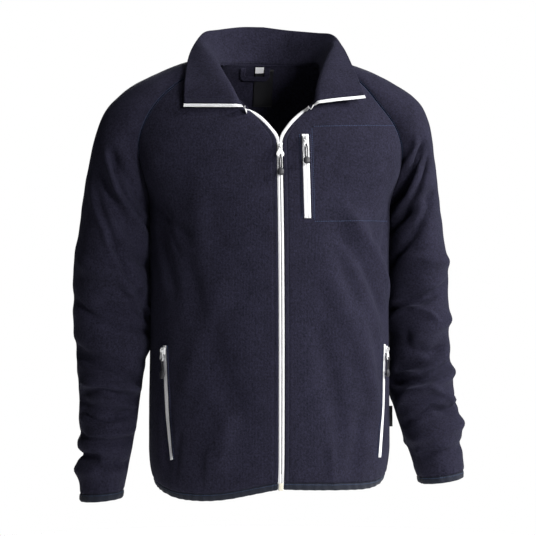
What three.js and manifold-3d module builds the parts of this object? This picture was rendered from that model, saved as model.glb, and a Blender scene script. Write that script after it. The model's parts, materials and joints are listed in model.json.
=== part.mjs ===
// A fleece zip jacket, filled out as if worn, with nobody in it.
// Millimetres, +Z up. The front faces -Y and the wearer's left is +X.
// The origin lies in the middle of the neck, level with the seam at the sides of the neck.
// Every cloth piece is a wall between an outer grid of points and the same grid moved inward.
import * as THREE from 'three';
import { mergeVertices } from 'three/addons/utils/BufferGeometryUtils.js';
import Module from 'manifold-3d';

const wasm = await Module();
wasm.setup();

// Driving sizes
const FLEECE_WALL = 2.4;
const COLLAR_WALL = 4.4;
const BINDING_WALL = 3.4;
const BINDING_DEPTH = 12;
const BINDING_PROUD = 0.5;
const SEAM_GAP = 0.3;
const TAPE_WALL = 1.4;
const TAPE_SHOWING = 3.8;
const ZIP_HALF = TAPE_SHOWING + 1.5 * SEAM_GAP;
const TORSO_SQUARENESS = 2.25;
const ARMPIT_LEVEL = -245;

// Grid sizes
const RAGLAN_ROWS = 10;
const TORSO_ROWS = 14;
const FRONT_COLUMNS = 12;
const BACK_COLUMNS = 16;
const TUBE_ROWS = 18;
const SLEEVE_COLUMNS = 16;
const COLLAR_COLUMNS = 32;
const COLLAR_ROWS = 8;

// Shares of a panel over which its rows settle from the neck seam and from the armpit
const NECK_SHARE = 0.3;
const ARMPIT_SHARE = 0.15;

// Share of the raglan rows over which the sleeve folds begin, and the radius that turns
// their angles into millimetres
const FOLDS_START = 0.4;
const ARM_RADIUS = 60;

// How late the rows above the armpit become an oval
const ROUNDING = 1.5;

// Places inside the panels that their outer sides face away from: sideways, and at the highest
const SLEEVE_MIDDLE = { x: 200, top: -100 };
const FRONT_MIDDLE = { x: 60, top: -120 };
const BACK_MIDDLE = { x: 0, top: -60 };
const COLLAR_MIDDLE = { x: 0, top: -40 };

// Colours
const NAVY = 0x272a3b;
const BINDING_BLUE = 0x2b3347;
const ZIP_WHITE = 0xe9e9ea;
const CREAM = 0xe6e2d6;
const CORD_BLACK = 0x24242a;
const LABEL_BLACK = 0x16161a;

// Neck seam from the front end of the collar to the middle of the back, one half
const NECK_SEAM = [
  { at: 0.00, x: 58, y: -98, z: -80 },
  { at: 0.16, x: 67, y: -80, z: -62 },
  { at: 0.32, x: 75, y: -55, z: -42 },
  { at: 0.46, x: 81, y: -27, z: -22 },
  { at: 0.60, x: 83, y: 4, z: -5 },
  { at: 0.74, x: 78, y: 32, z: 2 },
  { at: 0.86, x: 58, y: 55, z: 5 },
  { at: 0.94, x: 30, y: 68, z: 6 },
  { at: 1.00, x: 0, y: 72, z: 6 },
];
const NECK_AT_FRONT_SEAM = 0.46;
const NECK_AT_BACK_SEAM = 0.78;

// Line where the two halves of the zip meet, from the neck seam to the armpit level
const ZIP_OPENING = [
  { at: 0.0, x: 54, y: -99, z: -82 },
  { at: 0.2, x: 34, y: -107, z: -97 },
  { at: 0.4, x: 13, y: -117, z: -117 },
  { at: 0.55, x: 0, y: -125, z: -140 },
  { at: 0.75, x: 0, y: -131, z: -185 },
  { at: 1.0, x: 0, y: -139, z: ARMPIT_LEVEL },
];

// Middle of the back from the neck seam to the armpit level
const BACK_LINE = [
  { at: 0.0, y: 72, z: 6 },
  { at: 0.3, y: 97, z: -45 },
  { at: 0.6, y: 114, z: -120 },
  { at: 1.0, y: 122, z: ARMPIT_LEVEL },
];

// Torso below the armpits: 0 at the armpit, 1 at the hem
const TORSO = [
  { at: 0.00, side: 202, front: 139, back: 122 },
  { at: 0.18, side: 201, front: 146, back: 116 },
  { at: 0.38, side: 200, front: 150, back: 112 },
  { at: 0.58, side: 201, front: 151, back: 116 },
  { at: 0.80, side: 202, front: 150, back: 124 },
  { at: 0.90, side: 201, front: 149, back: 126 },
  { at: 0.96, side: 197, front: 145, back: 123 },
  { at: 1.00, side: 190, front: 139, back: 116 },
];

// Height of the hem edge from the zip (0) to the side seam (1) and on to the middle back (2)
const HEM_RIGHT = [
  { at: 0.0, z: -700 },
  { at: 0.3, z: -717 },
  { at: 0.6, z: -719 },
  { at: 1.0, z: -705 },
  { at: 1.5, z: -704 },
  { at: 2.0, z: -706 },
];
const HEM_LEFT = [
  { at: 0.0, z: -700 },
  { at: 0.3, z: -704 },
  { at: 0.6, z: -706 },
  { at: 1.0, z: -694 },
  { at: 1.5, z: -698 },
  { at: 2.0, z: -706 },
];

// Raglan part of each sleeve: its front seam, its ridge on the shoulder and its back seam.
// The wrap is half the angle that the row turns through, 180 where the sleeve closes.
const ARMPIT = { x: 202, y: 0, z: -247 };
const UPPER_ARM_DEPTH = 72;
const RAGLAN_RIGHT = [
  { at: 0.00, fx: 81, fy: -27, fz: -22, rx: 83, ry: 4, rz: -5, bx: 73, by: 40, bz: 3, wrap: 90 },
  { at: 0.20, fx: 134, fy: -43, fz: -27, rx: 130, ry: 8, rz: 3, bx: 113, by: 64, bz: -10, wrap: 88 },
  { at: 0.40, fx: 187, fy: -61, fz: -66, rx: 196, ry: 8, rz: -23, bx: 170, by: 82, bz: -52, wrap: 95 },
  { at: 0.60, fx: 219, fy: -61, fz: -121, rx: 248, ry: 5, rz: -55, bx: 205, by: 84, bz: -110, wrap: 108 },
  { at: 0.80, fx: 219, fy: -43, fz: -174, rx: 283, ry: 2, rz: -99, bx: 214, by: 60, bz: -172, wrap: 132 },
  { at: 1.00, rx: 306, ry: 0, rz: -192, wrap: 180 },
];
const RAGLAN_LEFT = [
  { at: 0.00, fx: 81, fy: -27, fz: -22, rx: 83, ry: 4, rz: -5, bx: 73, by: 40, bz: 3, wrap: 90 },
  { at: 0.20, fx: 133, fy: -42, fz: -25, rx: 126, ry: 8, rz: 3, bx: 112, by: 64, bz: -10, wrap: 88 },
  { at: 0.40, fx: 177, fy: -60, fz: -74, rx: 190, ry: 8, rz: -19, bx: 166, by: 82, bz: -55, wrap: 95 },
  { at: 0.60, fx: 209, fy: -61, fz: -124, rx: 244, ry: 5, rz: -52, bx: 202, by: 84, bz: -112, wrap: 108 },
  { at: 0.80, fx: 216, fy: -43, fz: -176, rx: 271, ry: 2, rz: -98, bx: 213, by: 60, bz: -172, wrap: 132 },
  { at: 1.00, rx: 284, ry: 0, rz: -192, wrap: 180 },
];

// Sleeves below the armpit, one row for each ring.
// The tilt in degrees lifts the outer side of the ring.
const TUBE_RIGHT = [
  { at: 0.10, x: 262, y: 2, z: -290, wide: 58, deep: 73, tilt: 17 },
  { at: 0.22, x: 266, y: 5, z: -350, wide: 62, deep: 71, tilt: 8 },
  { at: 0.38, x: 266, y: 7, z: -425, wide: 61, deep: 69, tilt: 3 },
  { at: 0.52, x: 265, y: 5, z: -490, wide: 58, deep: 66, tilt: 0 },
  { at: 0.64, x: 267, y: 0, z: -545, wide: 52, deep: 62, tilt: 0 },
  { at: 0.76, x: 271, y: -6, z: -600, wide: 48, deep: 57, tilt: -1 },
  { at: 0.88, x: 277, y: -13, z: -660, wide: 43, deep: 50, tilt: -3 },
  { at: 1.00, x: 281, y: -22, z: -724, wide: 34, deep: 41, tilt: -5 },
];
const TUBE_LEFT = [
  { at: 0.10, x: 250, y: 2, z: -290, wide: 47, deep: 73, tilt: 17 },
  { at: 0.22, x: 255, y: 5, z: -350, wide: 50, deep: 71, tilt: 8 },
  { at: 0.38, x: 256, y: 8, z: -420, wide: 51, deep: 68, tilt: 3 },
  { at: 0.52, x: 257, y: 7, z: -485, wide: 52, deep: 65, tilt: 0 },
  { at: 0.66, x: 260, y: 2, z: -545, wide: 55, deep: 61, tilt: 0 },
  { at: 0.78, x: 272, y: -6, z: -600, wide: 53, deep: 56, tilt: 2 },
  { at: 0.88, x: 281, y: -14, z: -646, wide: 46, deep: 50, tilt: 5 },
  { at: 1.00, x: 290, y: -24, z: -701, wide: 38, deep: 42, tilt: 8 },
];

// Collar sections from the front end to the middle back, one half each.
// Each goes from the neck seam over the roll to the free edge.
const COLLAR_RIGHT = [
  { at: 0.00, rx: 70, ry: -108, rz: -79, ex: 152, ey: -92, ez: -78 },
  { at: 0.16, rx: 77, ry: -97, rz: -53, ex: 151, ey: -82, ez: -57 },
  { at: 0.32, rx: 89, ry: -70, rz: -25, ex: 148, ey: -64, ez: -34 },
  { at: 0.46, rx: 102, ry: -40, rz: 5, ex: 140, ey: -30, ez: 0 },
  { at: 0.60, rx: 111, ry: -8, rz: 26, ex: 127, ey: 0, ez: 29 },
  { at: 0.74, rx: 100, ry: 24, rz: 38, ex: 108, ey: 22, ez: 53 },
  { at: 0.86, rx: 73, ry: 54, rz: 48, ex: 80, ey: 55, ez: 62 },
  { at: 0.94, rx: 36, ry: 72, rz: 54, ex: 39, ey: 76, ez: 70 },
  { at: 1.00, rx: 0, ry: 77, rz: 54, ex: 0, ey: 81, ez: 71 },
];
const COLLAR_LEFT = [
  { at: 0.00, rx: 66, ry: -108, rz: -72, ex: 145, ey: -94, ez: -61 },
  { at: 0.16, rx: 68, ry: -97, rz: -50, ex: 141, ey: -84, ez: -45 },
  { at: 0.32, rx: 80, ry: -70, rz: -20, ex: 137, ey: -64, ez: -25 },
  { at: 0.46, rx: 95, ry: -38, rz: 8, ex: 131, ey: -30, ez: 5 },
  { at: 0.60, rx: 108, ry: -6, rz: 30, ex: 124, ey: 0, ez: 31 },
  { at: 0.74, rx: 102, ry: 26, rz: 38, ex: 112, ey: 26, ez: 53 },
  { at: 0.86, rx: 76, ry: 54, rz: 44, ex: 86, ey: 56, ez: 60 },
  { at: 0.94, rx: 38, ry: 72, rz: 50, ex: 41, ey: 76, ez: 66 },
  { at: 1.00, rx: 0, ry: 77, rz: 54, ex: 0, ey: 81, ez: 71 },
];

// Folds: a soft ridge (height above 0) or trough (below 0) along a straight run.
// On the fronts and back, across is the girth from the middle line and down is below the origin.
const FRONT_GIRTH = 275;
const FOLDS_FRONT_RIGHT = [
  { across0: 120, down0: 190, across1: 100, down1: 420, width: 26, height: 3 },
  { across0: 215, down0: 255, across1: 160, down1: 400, width: 24, height: -4 },
  { across0: 60, down0: 560, across1: 90, down1: 690, width: 24, height: 4 },
  { across0: 190, down0: 560, across1: 180, down1: 690, width: 22, height: -4 },
];
const FOLDS_FRONT_LEFT = [
  { across0: 60, down0: 265, across1: 205, down1: 440, width: 20, height: -5 },
  { across0: 75, down0: 235, across1: 235, down1: 400, width: 20, height: 5 },
  { across0: 50, down0: 330, across1: 150, down1: 560, width: 26, height: 4 },
  { across0: 205, down0: 255, across1: 140, down1: 300, width: 20, height: -4 },
  { across0: 120, down0: 570, across1: 100, down1: 690, width: 22, height: -4 },
];
const FOLDS_BACK = [
  { across0: -180, down0: 270, across1: -60, down1: 360, width: 24, height: -5 },
  { across0: 185, down0: 280, across1: 70, down1: 380, width: 24, height: -5 },
  { across0: -120, down0: 440, across1: 100, down1: 480, width: 30, height: -4 },
  { across0: -80, down0: 560, across1: -95, down1: 690, width: 24, height: 4 },
  { across0: 90, down0: 550, across1: 110, down1: 690, width: 24, height: 4 },
];
// On the sleeves, turn is in degrees from the outer side, below 0 towards the front.
const FOLDS_SLEEVE_RIGHT = [
  { turn0: -60, down0: 150, turn1: -165, down1: 260, width: 15, height: -8 },
  { turn0: -35, down0: 175, turn1: -150, down1: 330, width: 17, height: -8 },
  { turn0: -80, down0: 300, turn1: -170, down1: 345, width: 15, height: -7 },
  { turn0: -20, down0: 330, turn1: -150, down1: 385, width: 17, height: 6 },
  { turn0: -60, down0: 400, turn1: -170, down1: 430, width: 14, height: -7 },
  { turn0: 10, down0: 470, turn1: -120, down1: 505, width: 14, height: -7 },
  { turn0: -10, down0: 530, turn1: -170, down1: 545, width: 13, height: 6 },
  { turn0: 0, down0: 560, turn1: -150, down1: 590, width: 12, height: -7 },
  { turn0: -30, down0: 620, turn1: -170, down1: 610, width: 12, height: 5 },
  { turn0: -10, down0: 650, turn1: -140, down1: 665, width: 12, height: -5 },
  { turn0: 60, down0: 190, turn1: 160, down1: 290, width: 18, height: -7 },
  { turn0: 40, down0: 340, turn1: 160, down1: 370, width: 16, height: -7 },
  { turn0: 50, down0: 450, turn1: 170, down1: 470, width: 15, height: 6 },
  { turn0: 30, down0: 560, turn1: 150, down1: 585, width: 13, height: -6 },
  { turn0: 40, down0: 640, turn1: 165, down1: 655, width: 12, height: 5 },
];
const FOLDS_SLEEVE_LEFT = [
  { turn0: -60, down0: 145, turn1: -160, down1: 240, width: 15, height: -8 },
  { turn0: -45, down0: 215, turn1: -160, down1: 270, width: 15, height: -7 },
  { turn0: -15, down0: 335, turn1: -150, down1: 325, width: 17, height: 6 },
  { turn0: -20, down0: 372, turn1: -150, down1: 400, width: 17, height: -8 },
  { turn0: -10, down0: 420, turn1: -130, down1: 470, width: 17, height: 7 },
  { turn0: -40, down0: 470, turn1: -170, down1: 530, width: 16, height: -9 },
  { turn0: 0, down0: 505, turn1: -150, down1: 570, width: 14, height: 7 },
  { turn0: 10, down0: 560, turn1: -130, down1: 605, width: 13, height: -7 },
  { turn0: 0, down0: 600, turn1: -160, down1: 635, width: 12, height: 6 },
  { turn0: 10, down0: 640, turn1: -150, down1: 655, width: 12, height: -6 },
  { turn0: 60, down0: 180, turn1: 160, down1: 280, width: 18, height: -7 },
  { turn0: 40, down0: 350, turn1: 160, down1: 360, width: 16, height: -7 },
  { turn0: 50, down0: 440, turn1: 170, down1: 465, width: 15, height: 6 },
  { turn0: 30, down0: 560, turn1: 150, down1: 580, width: 13, height: -6 },
  { turn0: 40, down0: 630, turn1: 165, down1: 640, width: 12, height: 5 },
];
const FOLD_FADE = 14;

// Lengths that turn shares of a panel into millimetres
const TORSO_LENGTH = 455;
const ARM_LENGTH = 490;
const BINDING_ROWS = 2;

// Small numeric helpers
const degrees = Math.PI / 180;
const mix = (a, b, k) => a + (b - a) * k;
const clamp01 = (k) => Math.min(1, Math.max(0, k));
const smooth = (k) => clamp01(k) ** 2 * (3 - 2 * clamp01(k));
const vector = (x, y, z) => new THREE.Vector3(x, y, z);
const steps = (count) => Array.from({ length: count + 1 }, (_, index) => index / count);

// A smooth curve through one column of a table, by cubic pieces
function columnAt(rows, key, at) {
  let i = rows.findIndex((row) => row.at >= at) - 1;
  if (at <= rows[0].at) i = 0;
  if (at >= rows[rows.length - 1].at) i = rows.length - 2;
  const slope = (j) => {
    const low = rows[Math.max(0, j - 1)];
    const high = rows[Math.min(rows.length - 1, j + 1)];
    return (high[key] - low[key]) / (high.at - low.at);
  };
  const span = rows[i + 1].at - rows[i].at;
  const k = clamp01((at - rows[i].at) / span);
  const k2 = k * k;
  const k3 = k2 * k;
  return (2 * k3 - 3 * k2 + 1) * rows[i][key] + (k3 - 2 * k2 + k) * span * slope(i)
    + (3 * k2 - 2 * k3) * rows[i + 1][key] + (k3 - k2) * span * slope(i + 1);
}
const pointAt = (rows, at) => vector(...['x', 'y', 'z'].map((key) => columnAt(rows, key, at)));

// Height of all folds at one place on a panel, both coordinates in millimetres
function foldHeight(folds, across, down) {
  let height = 0;
  for (const fold of folds) {
    const runAcross = fold.across1 - fold.across0;
    const runDown = fold.down1 - fold.down0;
    const length = Math.hypot(runAcross, runDown);
    const fromStart = (across - fold.across0) * runAcross + (down - fold.down0) * runDown;
    const along = fromStart / length / length;
    const aside = ((across - fold.across0) * runDown - (down - fold.down0) * runAcross) / length;
    const taper = smooth(along / 0.3 + 0.2) * smooth((1 - along) / 0.3 + 0.2);
    height += fold.height * taper * Math.exp(-((aside / fold.width) ** 2) * 2);
  }
  return height;
}

// Normals of a grid of points, by the steps to the neighbours
function gridNormals(grid) {
  return grid.map((row, r) => row.map((_, c) => {
    const down = grid[Math.min(grid.length - 1, r + 1)][c].clone().sub(grid[Math.max(0, r - 1)][c]);
    const along = row[Math.min(row.length - 1, c + 1)].clone().sub(row[Math.max(0, c - 1)]);
    return along.cross(down).normalize();
  }));
}

// Turns all normals of a grid so that they point away from the line x = middle, y = 0
function pointOutward(grid, normals, middleOf) {
  let sum = 0;
  grid.forEach((row, r) => row.forEach((point, c) => {
    sum += normals[r][c].dot(point.clone().sub(middleOf(point)));
  }));
  if (sum < 0) normals.forEach((row) => row.forEach((normal) => normal.negate()));
}

// Gives the place inside a panel that is level with a point, up to a height
const middleBelow = ({ x, top }, side) => (point) => vector(side * x, 0, Math.min(point.z, top));

// A panel is its outer points and their normals
function makePanel(grid, middleOf) {
  const normals = gridNormals(grid);
  pointOutward(grid, normals, middleOf);
  return { grid, normals };
}

// Moves the points of a panel out along its normals by its folds
function foldPanel(panel, heightAt) {
  panel.grid.forEach((row, r) => row.forEach((point, c) => {
    point.addScaledVector(panel.normals[r][c], heightAt(r, c, point));
  }));
  return panel;
}

// Gives the corners that meet at a seam one common normal
function shareNormal(...places) {
  const sum = vector(0, 0, 0);
  places.forEach(([panel, r, c]) => sum.add(panel.normals[r][c]));
  sum.normalize();
  places.forEach(([panel, r, c]) => panel.normals[r][c].copy(sum));
}

// Draws one side column of a panel in by half the seam gap
function trimColumn(panel, edge, next) {
  panel.grid.forEach((row, r) => {
    const inward = row[next].clone().sub(row[edge]);
    inward.addScaledVector(panel.normals[r][edge], -inward.dot(panel.normals[r][edge]));
    row[edge].addScaledVector(inward.normalize(), SEAM_GAP / 2);
  });
}

// Triangles of a wall between two grids, closed at its rims.
// Where the columns close on themselves, the wall is a tube.
function wallGeometry(outer, inner, closed = false) {
  const rows = outer.length;
  const columns = outer[0].length;
  const positions = [...outer, ...inner].flat().flatMap((point) => [point.x, point.y, point.z]);
  const place = (layer, r, c) => (layer * rows + r) * columns + (c % columns);
  const indices = [];
  const quad = (a, b, c, d) => indices.push(a, b, c, a, c, d);
  const lastColumn = closed ? columns : columns - 1;
  for (let r = 0; r < rows - 1; r += 1) {
    for (let c = 0; c < lastColumn; c += 1) {
      quad(place(0, r, c), place(0, r + 1, c), place(0, r + 1, c + 1), place(0, r, c + 1));
      quad(place(1, r, c), place(1, r, c + 1), place(1, r + 1, c + 1), place(1, r + 1, c));
    }
    if (!closed) {
      const c = columns - 1;
      quad(place(0, r, 0), place(1, r, 0), place(1, r + 1, 0), place(0, r + 1, 0));
      quad(place(0, r, c), place(0, r + 1, c), place(1, r + 1, c), place(1, r, c));
    }
  }
  for (let c = 0; c < lastColumn; c += 1) {
    const r = rows - 1;
    quad(place(0, 0, c), place(0, 0, c + 1), place(1, 0, c + 1), place(1, 0, c));
    quad(place(0, r, c), place(1, r, c), place(1, r, c + 1), place(0, r, c + 1));
  }
  const geometry = new THREE.BufferGeometry();
  geometry.setAttribute('position', new THREE.Float32BufferAttribute(positions, 3));
  geometry.setIndex(indices);
  return faceOutward(geometry);
}

// Turns a closed geometry so that its faces point out
function faceOutward(geometry) {
  const position = geometry.getAttribute('position');
  const index = geometry.getIndex();
  const corner = (i) => new THREE.Vector3().fromBufferAttribute(position, index.getX(i));
  let volume = 0;
  for (let i = 0; i < index.count; i += 3) {
    volume += corner(i).dot(corner(i + 1).cross(corner(i + 2)));
  }
  if (volume < 0) {
    const turned = [];
    for (let i = 0; i < index.count; i += 3) {
      turned.push(index.getX(i), index.getX(i + 2), index.getX(i + 1));
    }
    geometry.setIndex(turned);
  }
  return geometry;
}

// Wall of a panel: outer points moved by lift, inner points a wall deeper
function panelWall(panel, wall, lift = 0, closed = false) {
  const moved = (by) => panel.grid.map((row, r) => row.map((point, c) => (
    point.clone().addScaledVector(panel.normals[r][c], by)
  )));
  return wallGeometry(moved(lift), moved(lift - wall), closed);
}

// Sleeve: centre, outward axis and depth axis of each ring, from its tables
function sleeveFrames(side, raglan, tube) {
  const frames = raglan.map((row) => {
    const ridge = vector(side * row.rx, row.ry, row.rz);
    const wrap = row.wrap * degrees;
    if (row.wrap === 180) {
      const armpit = vector(side * ARMPIT.x, ARMPIT.y, ARMPIT.z);
      const centre = armpit.clone().add(ridge).multiplyScalar(0.5);
      return { at: row.at, centre, out: ridge.sub(centre), deep: vector(0, UPPER_ARM_DEPTH, 0), wrap };
    }
    const front = vector(side * row.fx, row.fy, row.fz);
    const back = vector(side * row.bx, row.by, row.bz);
    const centre = front.clone().add(back).addScaledVector(ridge, -2 * Math.cos(wrap));
    centre.multiplyScalar(0.5 / (1 - Math.cos(wrap)));
    const deep = back.sub(front).multiplyScalar(0.5 / Math.sin(wrap));
    return { at: row.at, centre, out: ridge.sub(centre), deep, wrap };
  });
  tube.forEach((row) => {
    const tilt = row.tilt * degrees;
    const out = vector(side * Math.cos(tilt), 0, Math.sin(tilt)).multiplyScalar(row.wide);
    const centre = vector(side * row.x, row.y, row.z);
    frames.push({ at: 1 + row.at, centre, out, deep: vector(0, row.deep, 0), wrap: Math.PI });
  });
  return frames.map((frame) => {
    const flat = { at: frame.at, wrap: frame.wrap };
    ['centre', 'out', 'deep'].forEach((name) => ['x', 'y', 'z'].forEach((axis) => {
      flat[name + axis] = frame[name][axis];
    }));
    return flat;
  });
}

// Point on a sleeve: at runs 0 to 1 down the raglan and 1 to 2 down the arm,
// turn runs from -1 at the front seam over 0 on the ridge to 1 at the back seam
function sleevePoint(frames, at, turn) {
  const read = (name) => vector(...['x', 'y', 'z'].map((axis) => columnAt(frames, name + axis, at)));
  const angle = turn * Math.min(Math.PI, columnAt(frames, 'wrap', at));
  return read('centre').addScaledVector(read('out'), Math.cos(angle))
    .addScaledVector(read('deep'), Math.sin(angle));
}

const sleeveAngle = (frames, at, turn) => turn * Math.min(180, columnAt(frames, 'wrap', at) / degrees);

// Share of the fold that is kept near an edge, so that seams stay together
const edgeFade = (distance) => smooth(distance / FOLD_FADE);

const neckPoint = (side, at) => {
  const point = pointAt(NECK_SEAM, at);
  point.x *= side;
  return point;
};

// Moves a point near the top of a panel as its edge moves onto the neck seam
const settleOnNeck = (point, at, onNeck, onEdge) => (
  point.addScaledVector(onNeck.sub(onEdge), smooth(1 - at / NECK_SHARE))
);

// Rows of a sleeve: the shared raglan rows, then the arm down to the cuff binding
const BINDING_SHARE_CUFF = BINDING_DEPTH / ARM_LENGTH;
const sleeveRows = [
  ...steps(RAGLAN_ROWS),
  ...steps(TUBE_ROWS).slice(1).map((k) => 1 + k * (1 - BINDING_SHARE_CUFF)),
  2 - BINDING_SHARE_CUFF / 2,
  2,
];

function makeSleeve(side, frames, folds) {
  const turns = steps(SLEEVE_COLUMNS).map((k) => 2 * k - 1);
  const grid = sleeveRows.map((at) => turns.map((turn) => {
    const point = sleevePoint(frames, at, turn);
    const onNeck = neckPoint(side, mix(NECK_AT_FRONT_SEAM, NECK_AT_BACK_SEAM, (turn + 1) / 2));
    return settleOnNeck(point, at, onNeck, sleevePoint(frames, 0, turn));
  }));
  const middle = middleBelow(SLEEVE_MIDDLE, side);
  const panel = makePanel(grid, middle);
  const reach = ARM_RADIUS * degrees;
  const foldsInMm = folds.map((fold) => ({
    ...fold,
    across0: fold.turn0 * reach,
    across1: fold.turn1 * reach,
  }));
  foldPanel(panel, (r, c, point) => {
    const at = sleeveRows[r];
    const across = sleeveAngle(frames, at, turns[c]) * reach;
    const fromCuff = (2 - at) * ARM_LENGTH - BINDING_DEPTH;
    const fromSeam = (1 - Math.abs(turns[c])) * 180;
    return foldHeight(foldsInMm, across, -point.z) * edgeFade(fromCuff) * edgeFade(fromSeam)
      * smooth(at / FOLDS_START);
  });
  return makePanel(grid, middle);
}

// Share of the way along a torso row: nearly straight at the neck, a quarter oval at the armpit
function rowShape(k, roundness) {
  const oval = 2 / TORSO_SQUARENESS;
  const sine = Math.sin(k * Math.PI / 2) ** oval;
  const cosine = 1 - Math.cos(k * Math.PI / 2) ** oval;
  return { across: mix(k, sine, roundness), deep: mix(k * k, cosine, roundness) };
}

const hemHeight = (side, at) => columnAt(side < 0 ? HEM_RIGHT : HEM_LEFT, 'z', at);

// Point of the torso below the armpits: girth 0 at the zip, 1 at the side seam, 2 at the back
function torsoPoint(side, girth, down) {
  const width = columnAt(TORSO, 'side', down);
  const isFront = girth <= 1;
  const depth = isFront ? -columnAt(TORSO, 'front', down) : columnAt(TORSO, 'back', down);
  const shape = rowShape(isFront ? girth : 2 - girth, 1);
  const sideX = mix(side * ARMPIT.x, side * width, smooth(down / ARMPIT_SHARE));
  const top = mix(ARMPIT_LEVEL, ARMPIT.z, isFront ? girth : 2 - girth);
  const z = mix(top, hemHeight(side, girth), down);
  return vector(sideX * shape.across, depth * (1 - shape.deep), z);
}

// Point of a front above the armpit, from the zip (0) to the raglan seam (1)
function chestPoint(side, frames, girth, at) {
  const zip = pointAt(ZIP_OPENING, at);
  zip.x = side * Math.max(0, zip.x);
  const seam = sleevePoint(frames, at, -1);
  const shape = rowShape(girth, smooth(at) ** ROUNDING);
  return vector(
    mix(zip.x, seam.x, shape.across),
    mix(zip.y, seam.y, shape.deep),
    mix(zip.z, seam.z, mix(girth, girth ** ROUNDING, at)),
  );
}

const BINDING_SHARE_HEM = BINDING_DEPTH / TORSO_LENGTH;
const torsoDowns = [
  ...steps(TORSO_ROWS).slice(1).map((k) => k * (1 - BINDING_SHARE_HEM)),
  1 - BINDING_SHARE_HEM / 2,
  1,
];

function makeFront(side, frames, sleeve, folds) {
  const girths = steps(FRONT_COLUMNS);
  const grid = steps(RAGLAN_ROWS).map((at, r) => girths.map((girth, c) => {
    if (c === FRONT_COLUMNS) return sleeve.grid[r][0].clone();
    const onNeck = neckPoint(side, girth * NECK_AT_FRONT_SEAM);
    const onEdge = chestPoint(side, frames, girth, 0);
    return settleOnNeck(chestPoint(side, frames, girth, at), at, onNeck, onEdge);
  }));
  torsoDowns.forEach((down) => {
    grid.push(girths.map((girth) => torsoPoint(side, girth, down)));
  });
  // The edge column stops short of the line of the zip by the tape that shows
  grid.forEach((row) => {
    const inward = row[1].clone().sub(row[0]).normalize();
    row[0].addScaledVector(inward, ZIP_HALF);
  });
  const middle = middleBelow(FRONT_MIDDLE, side);
  const panel = makePanel(grid, middle);
  foldPanel(panel, (r, c, point) => {
    const across = girths[c] * FRONT_GIRTH;
    const fades = edgeFade(across) * edgeFade(FRONT_GIRTH - across);
    return foldHeight(folds, across, -point.z) * fades;
  });
  return makePanel(grid, middle);
}

function backPoint(framesOf, girth, at) {
  const side = girth < 0 ? -1 : 1;
  const middle = vector(0, columnAt(BACK_LINE, 'y', at), columnAt(BACK_LINE, 'z', at));
  const seam = sleevePoint(framesOf(side), at, 1);
  const shape = rowShape(Math.abs(girth), smooth(at) ** ROUNDING);
  return vector(
    seam.x * shape.across,
    mix(middle.y, seam.y, shape.deep),
    mix(middle.z, seam.z, girth * girth),
  );
}

function makeBack(framesOf, sleeves, folds) {
  const girths = steps(BACK_COLUMNS).map((k) => 2 * k - 1);
  const grid = steps(RAGLAN_ROWS).map((at, r) => girths.map((girth, c) => {
    if (c === 0) return sleeves.right.grid[r][SLEEVE_COLUMNS].clone();
    if (c === BACK_COLUMNS) return sleeves.left.grid[r][SLEEVE_COLUMNS].clone();
    const onNeck = neckPoint(Math.sign(girth) || 1, mix(1, NECK_AT_BACK_SEAM, Math.abs(girth)));
    return settleOnNeck(backPoint(framesOf, girth, at), at, onNeck, backPoint(framesOf, girth, 0));
  }));
  torsoDowns.forEach((down) => {
    grid.push(girths.map((girth) => torsoPoint(Math.sign(girth) || 1, 2 - Math.abs(girth), down)));
  });
  const middle = middleBelow(BACK_MIDDLE, 1);
  const panel = makePanel(grid, middle);
  foldPanel(panel, (r, c, point) => {
    const across = girths[c] * FRONT_GIRTH;
    return foldHeight(folds, across, -point.z) * edgeFade(FRONT_GIRTH - Math.abs(across));
  });
  return makePanel(grid, middle);
}

// Build the panels, then share the normals along the seams and open the seam gaps
const frames = {
  right: sleeveFrames(-1, RAGLAN_RIGHT, TUBE_RIGHT),
  left: sleeveFrames(1, RAGLAN_LEFT, TUBE_LEFT),
};
const framesOf = (side) => (side < 0 ? frames.right : frames.left);
const sleeves = {
  right: makeSleeve(-1, frames.right, FOLDS_SLEEVE_RIGHT),
  left: makeSleeve(1, frames.left, FOLDS_SLEEVE_LEFT),
};
const fronts = {
  right: makeFront(-1, frames.right, sleeves.right, FOLDS_FRONT_RIGHT),
  left: makeFront(1, frames.left, sleeves.left, FOLDS_FRONT_LEFT),
};
const back = makeBack(framesOf, sleeves, FOLDS_BACK);

for (const [name, backColumn, nextColumn] of [['right', 0, 1], ['left', BACK_COLUMNS, BACK_COLUMNS - 1]]) {
  const sleeve = sleeves[name];
  const front = fronts[name];
  for (let r = 0; r < RAGLAN_ROWS; r += 1) {
    shareNormal([front, r, FRONT_COLUMNS], [sleeve, r, 0]);
    shareNormal([back, r, backColumn], [sleeve, r, SLEEVE_COLUMNS]);
  }
  // The four panels meet at the armpit, which faces down
  const corners = [[front, FRONT_COLUMNS], [back, backColumn], [sleeve, 0], [sleeve, SLEEVE_COLUMNS]];
  corners.forEach(([panel, c]) => panel.normals[RAGLAN_ROWS][c].set(0, 0, -1));
  for (let r = RAGLAN_ROWS + 1; r < sleeve.grid.length; r += 1) {
    shareNormal([sleeve, r, 0], [sleeve, r, SLEEVE_COLUMNS]);
  }
  for (let r = RAGLAN_ROWS + 1; r < front.grid.length; r += 1) {
    shareNormal([front, r, FRONT_COLUMNS], [back, r, backColumn]);
  }
  trimColumn(sleeve, 0, 1);
  trimColumn(sleeve, SLEEVE_COLUMNS, SLEEVE_COLUMNS - 1);
  trimColumn(front, FRONT_COLUMNS, FRONT_COLUMNS - 1);
  trimColumn(back, backColumn, nextColumn);
}

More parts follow.
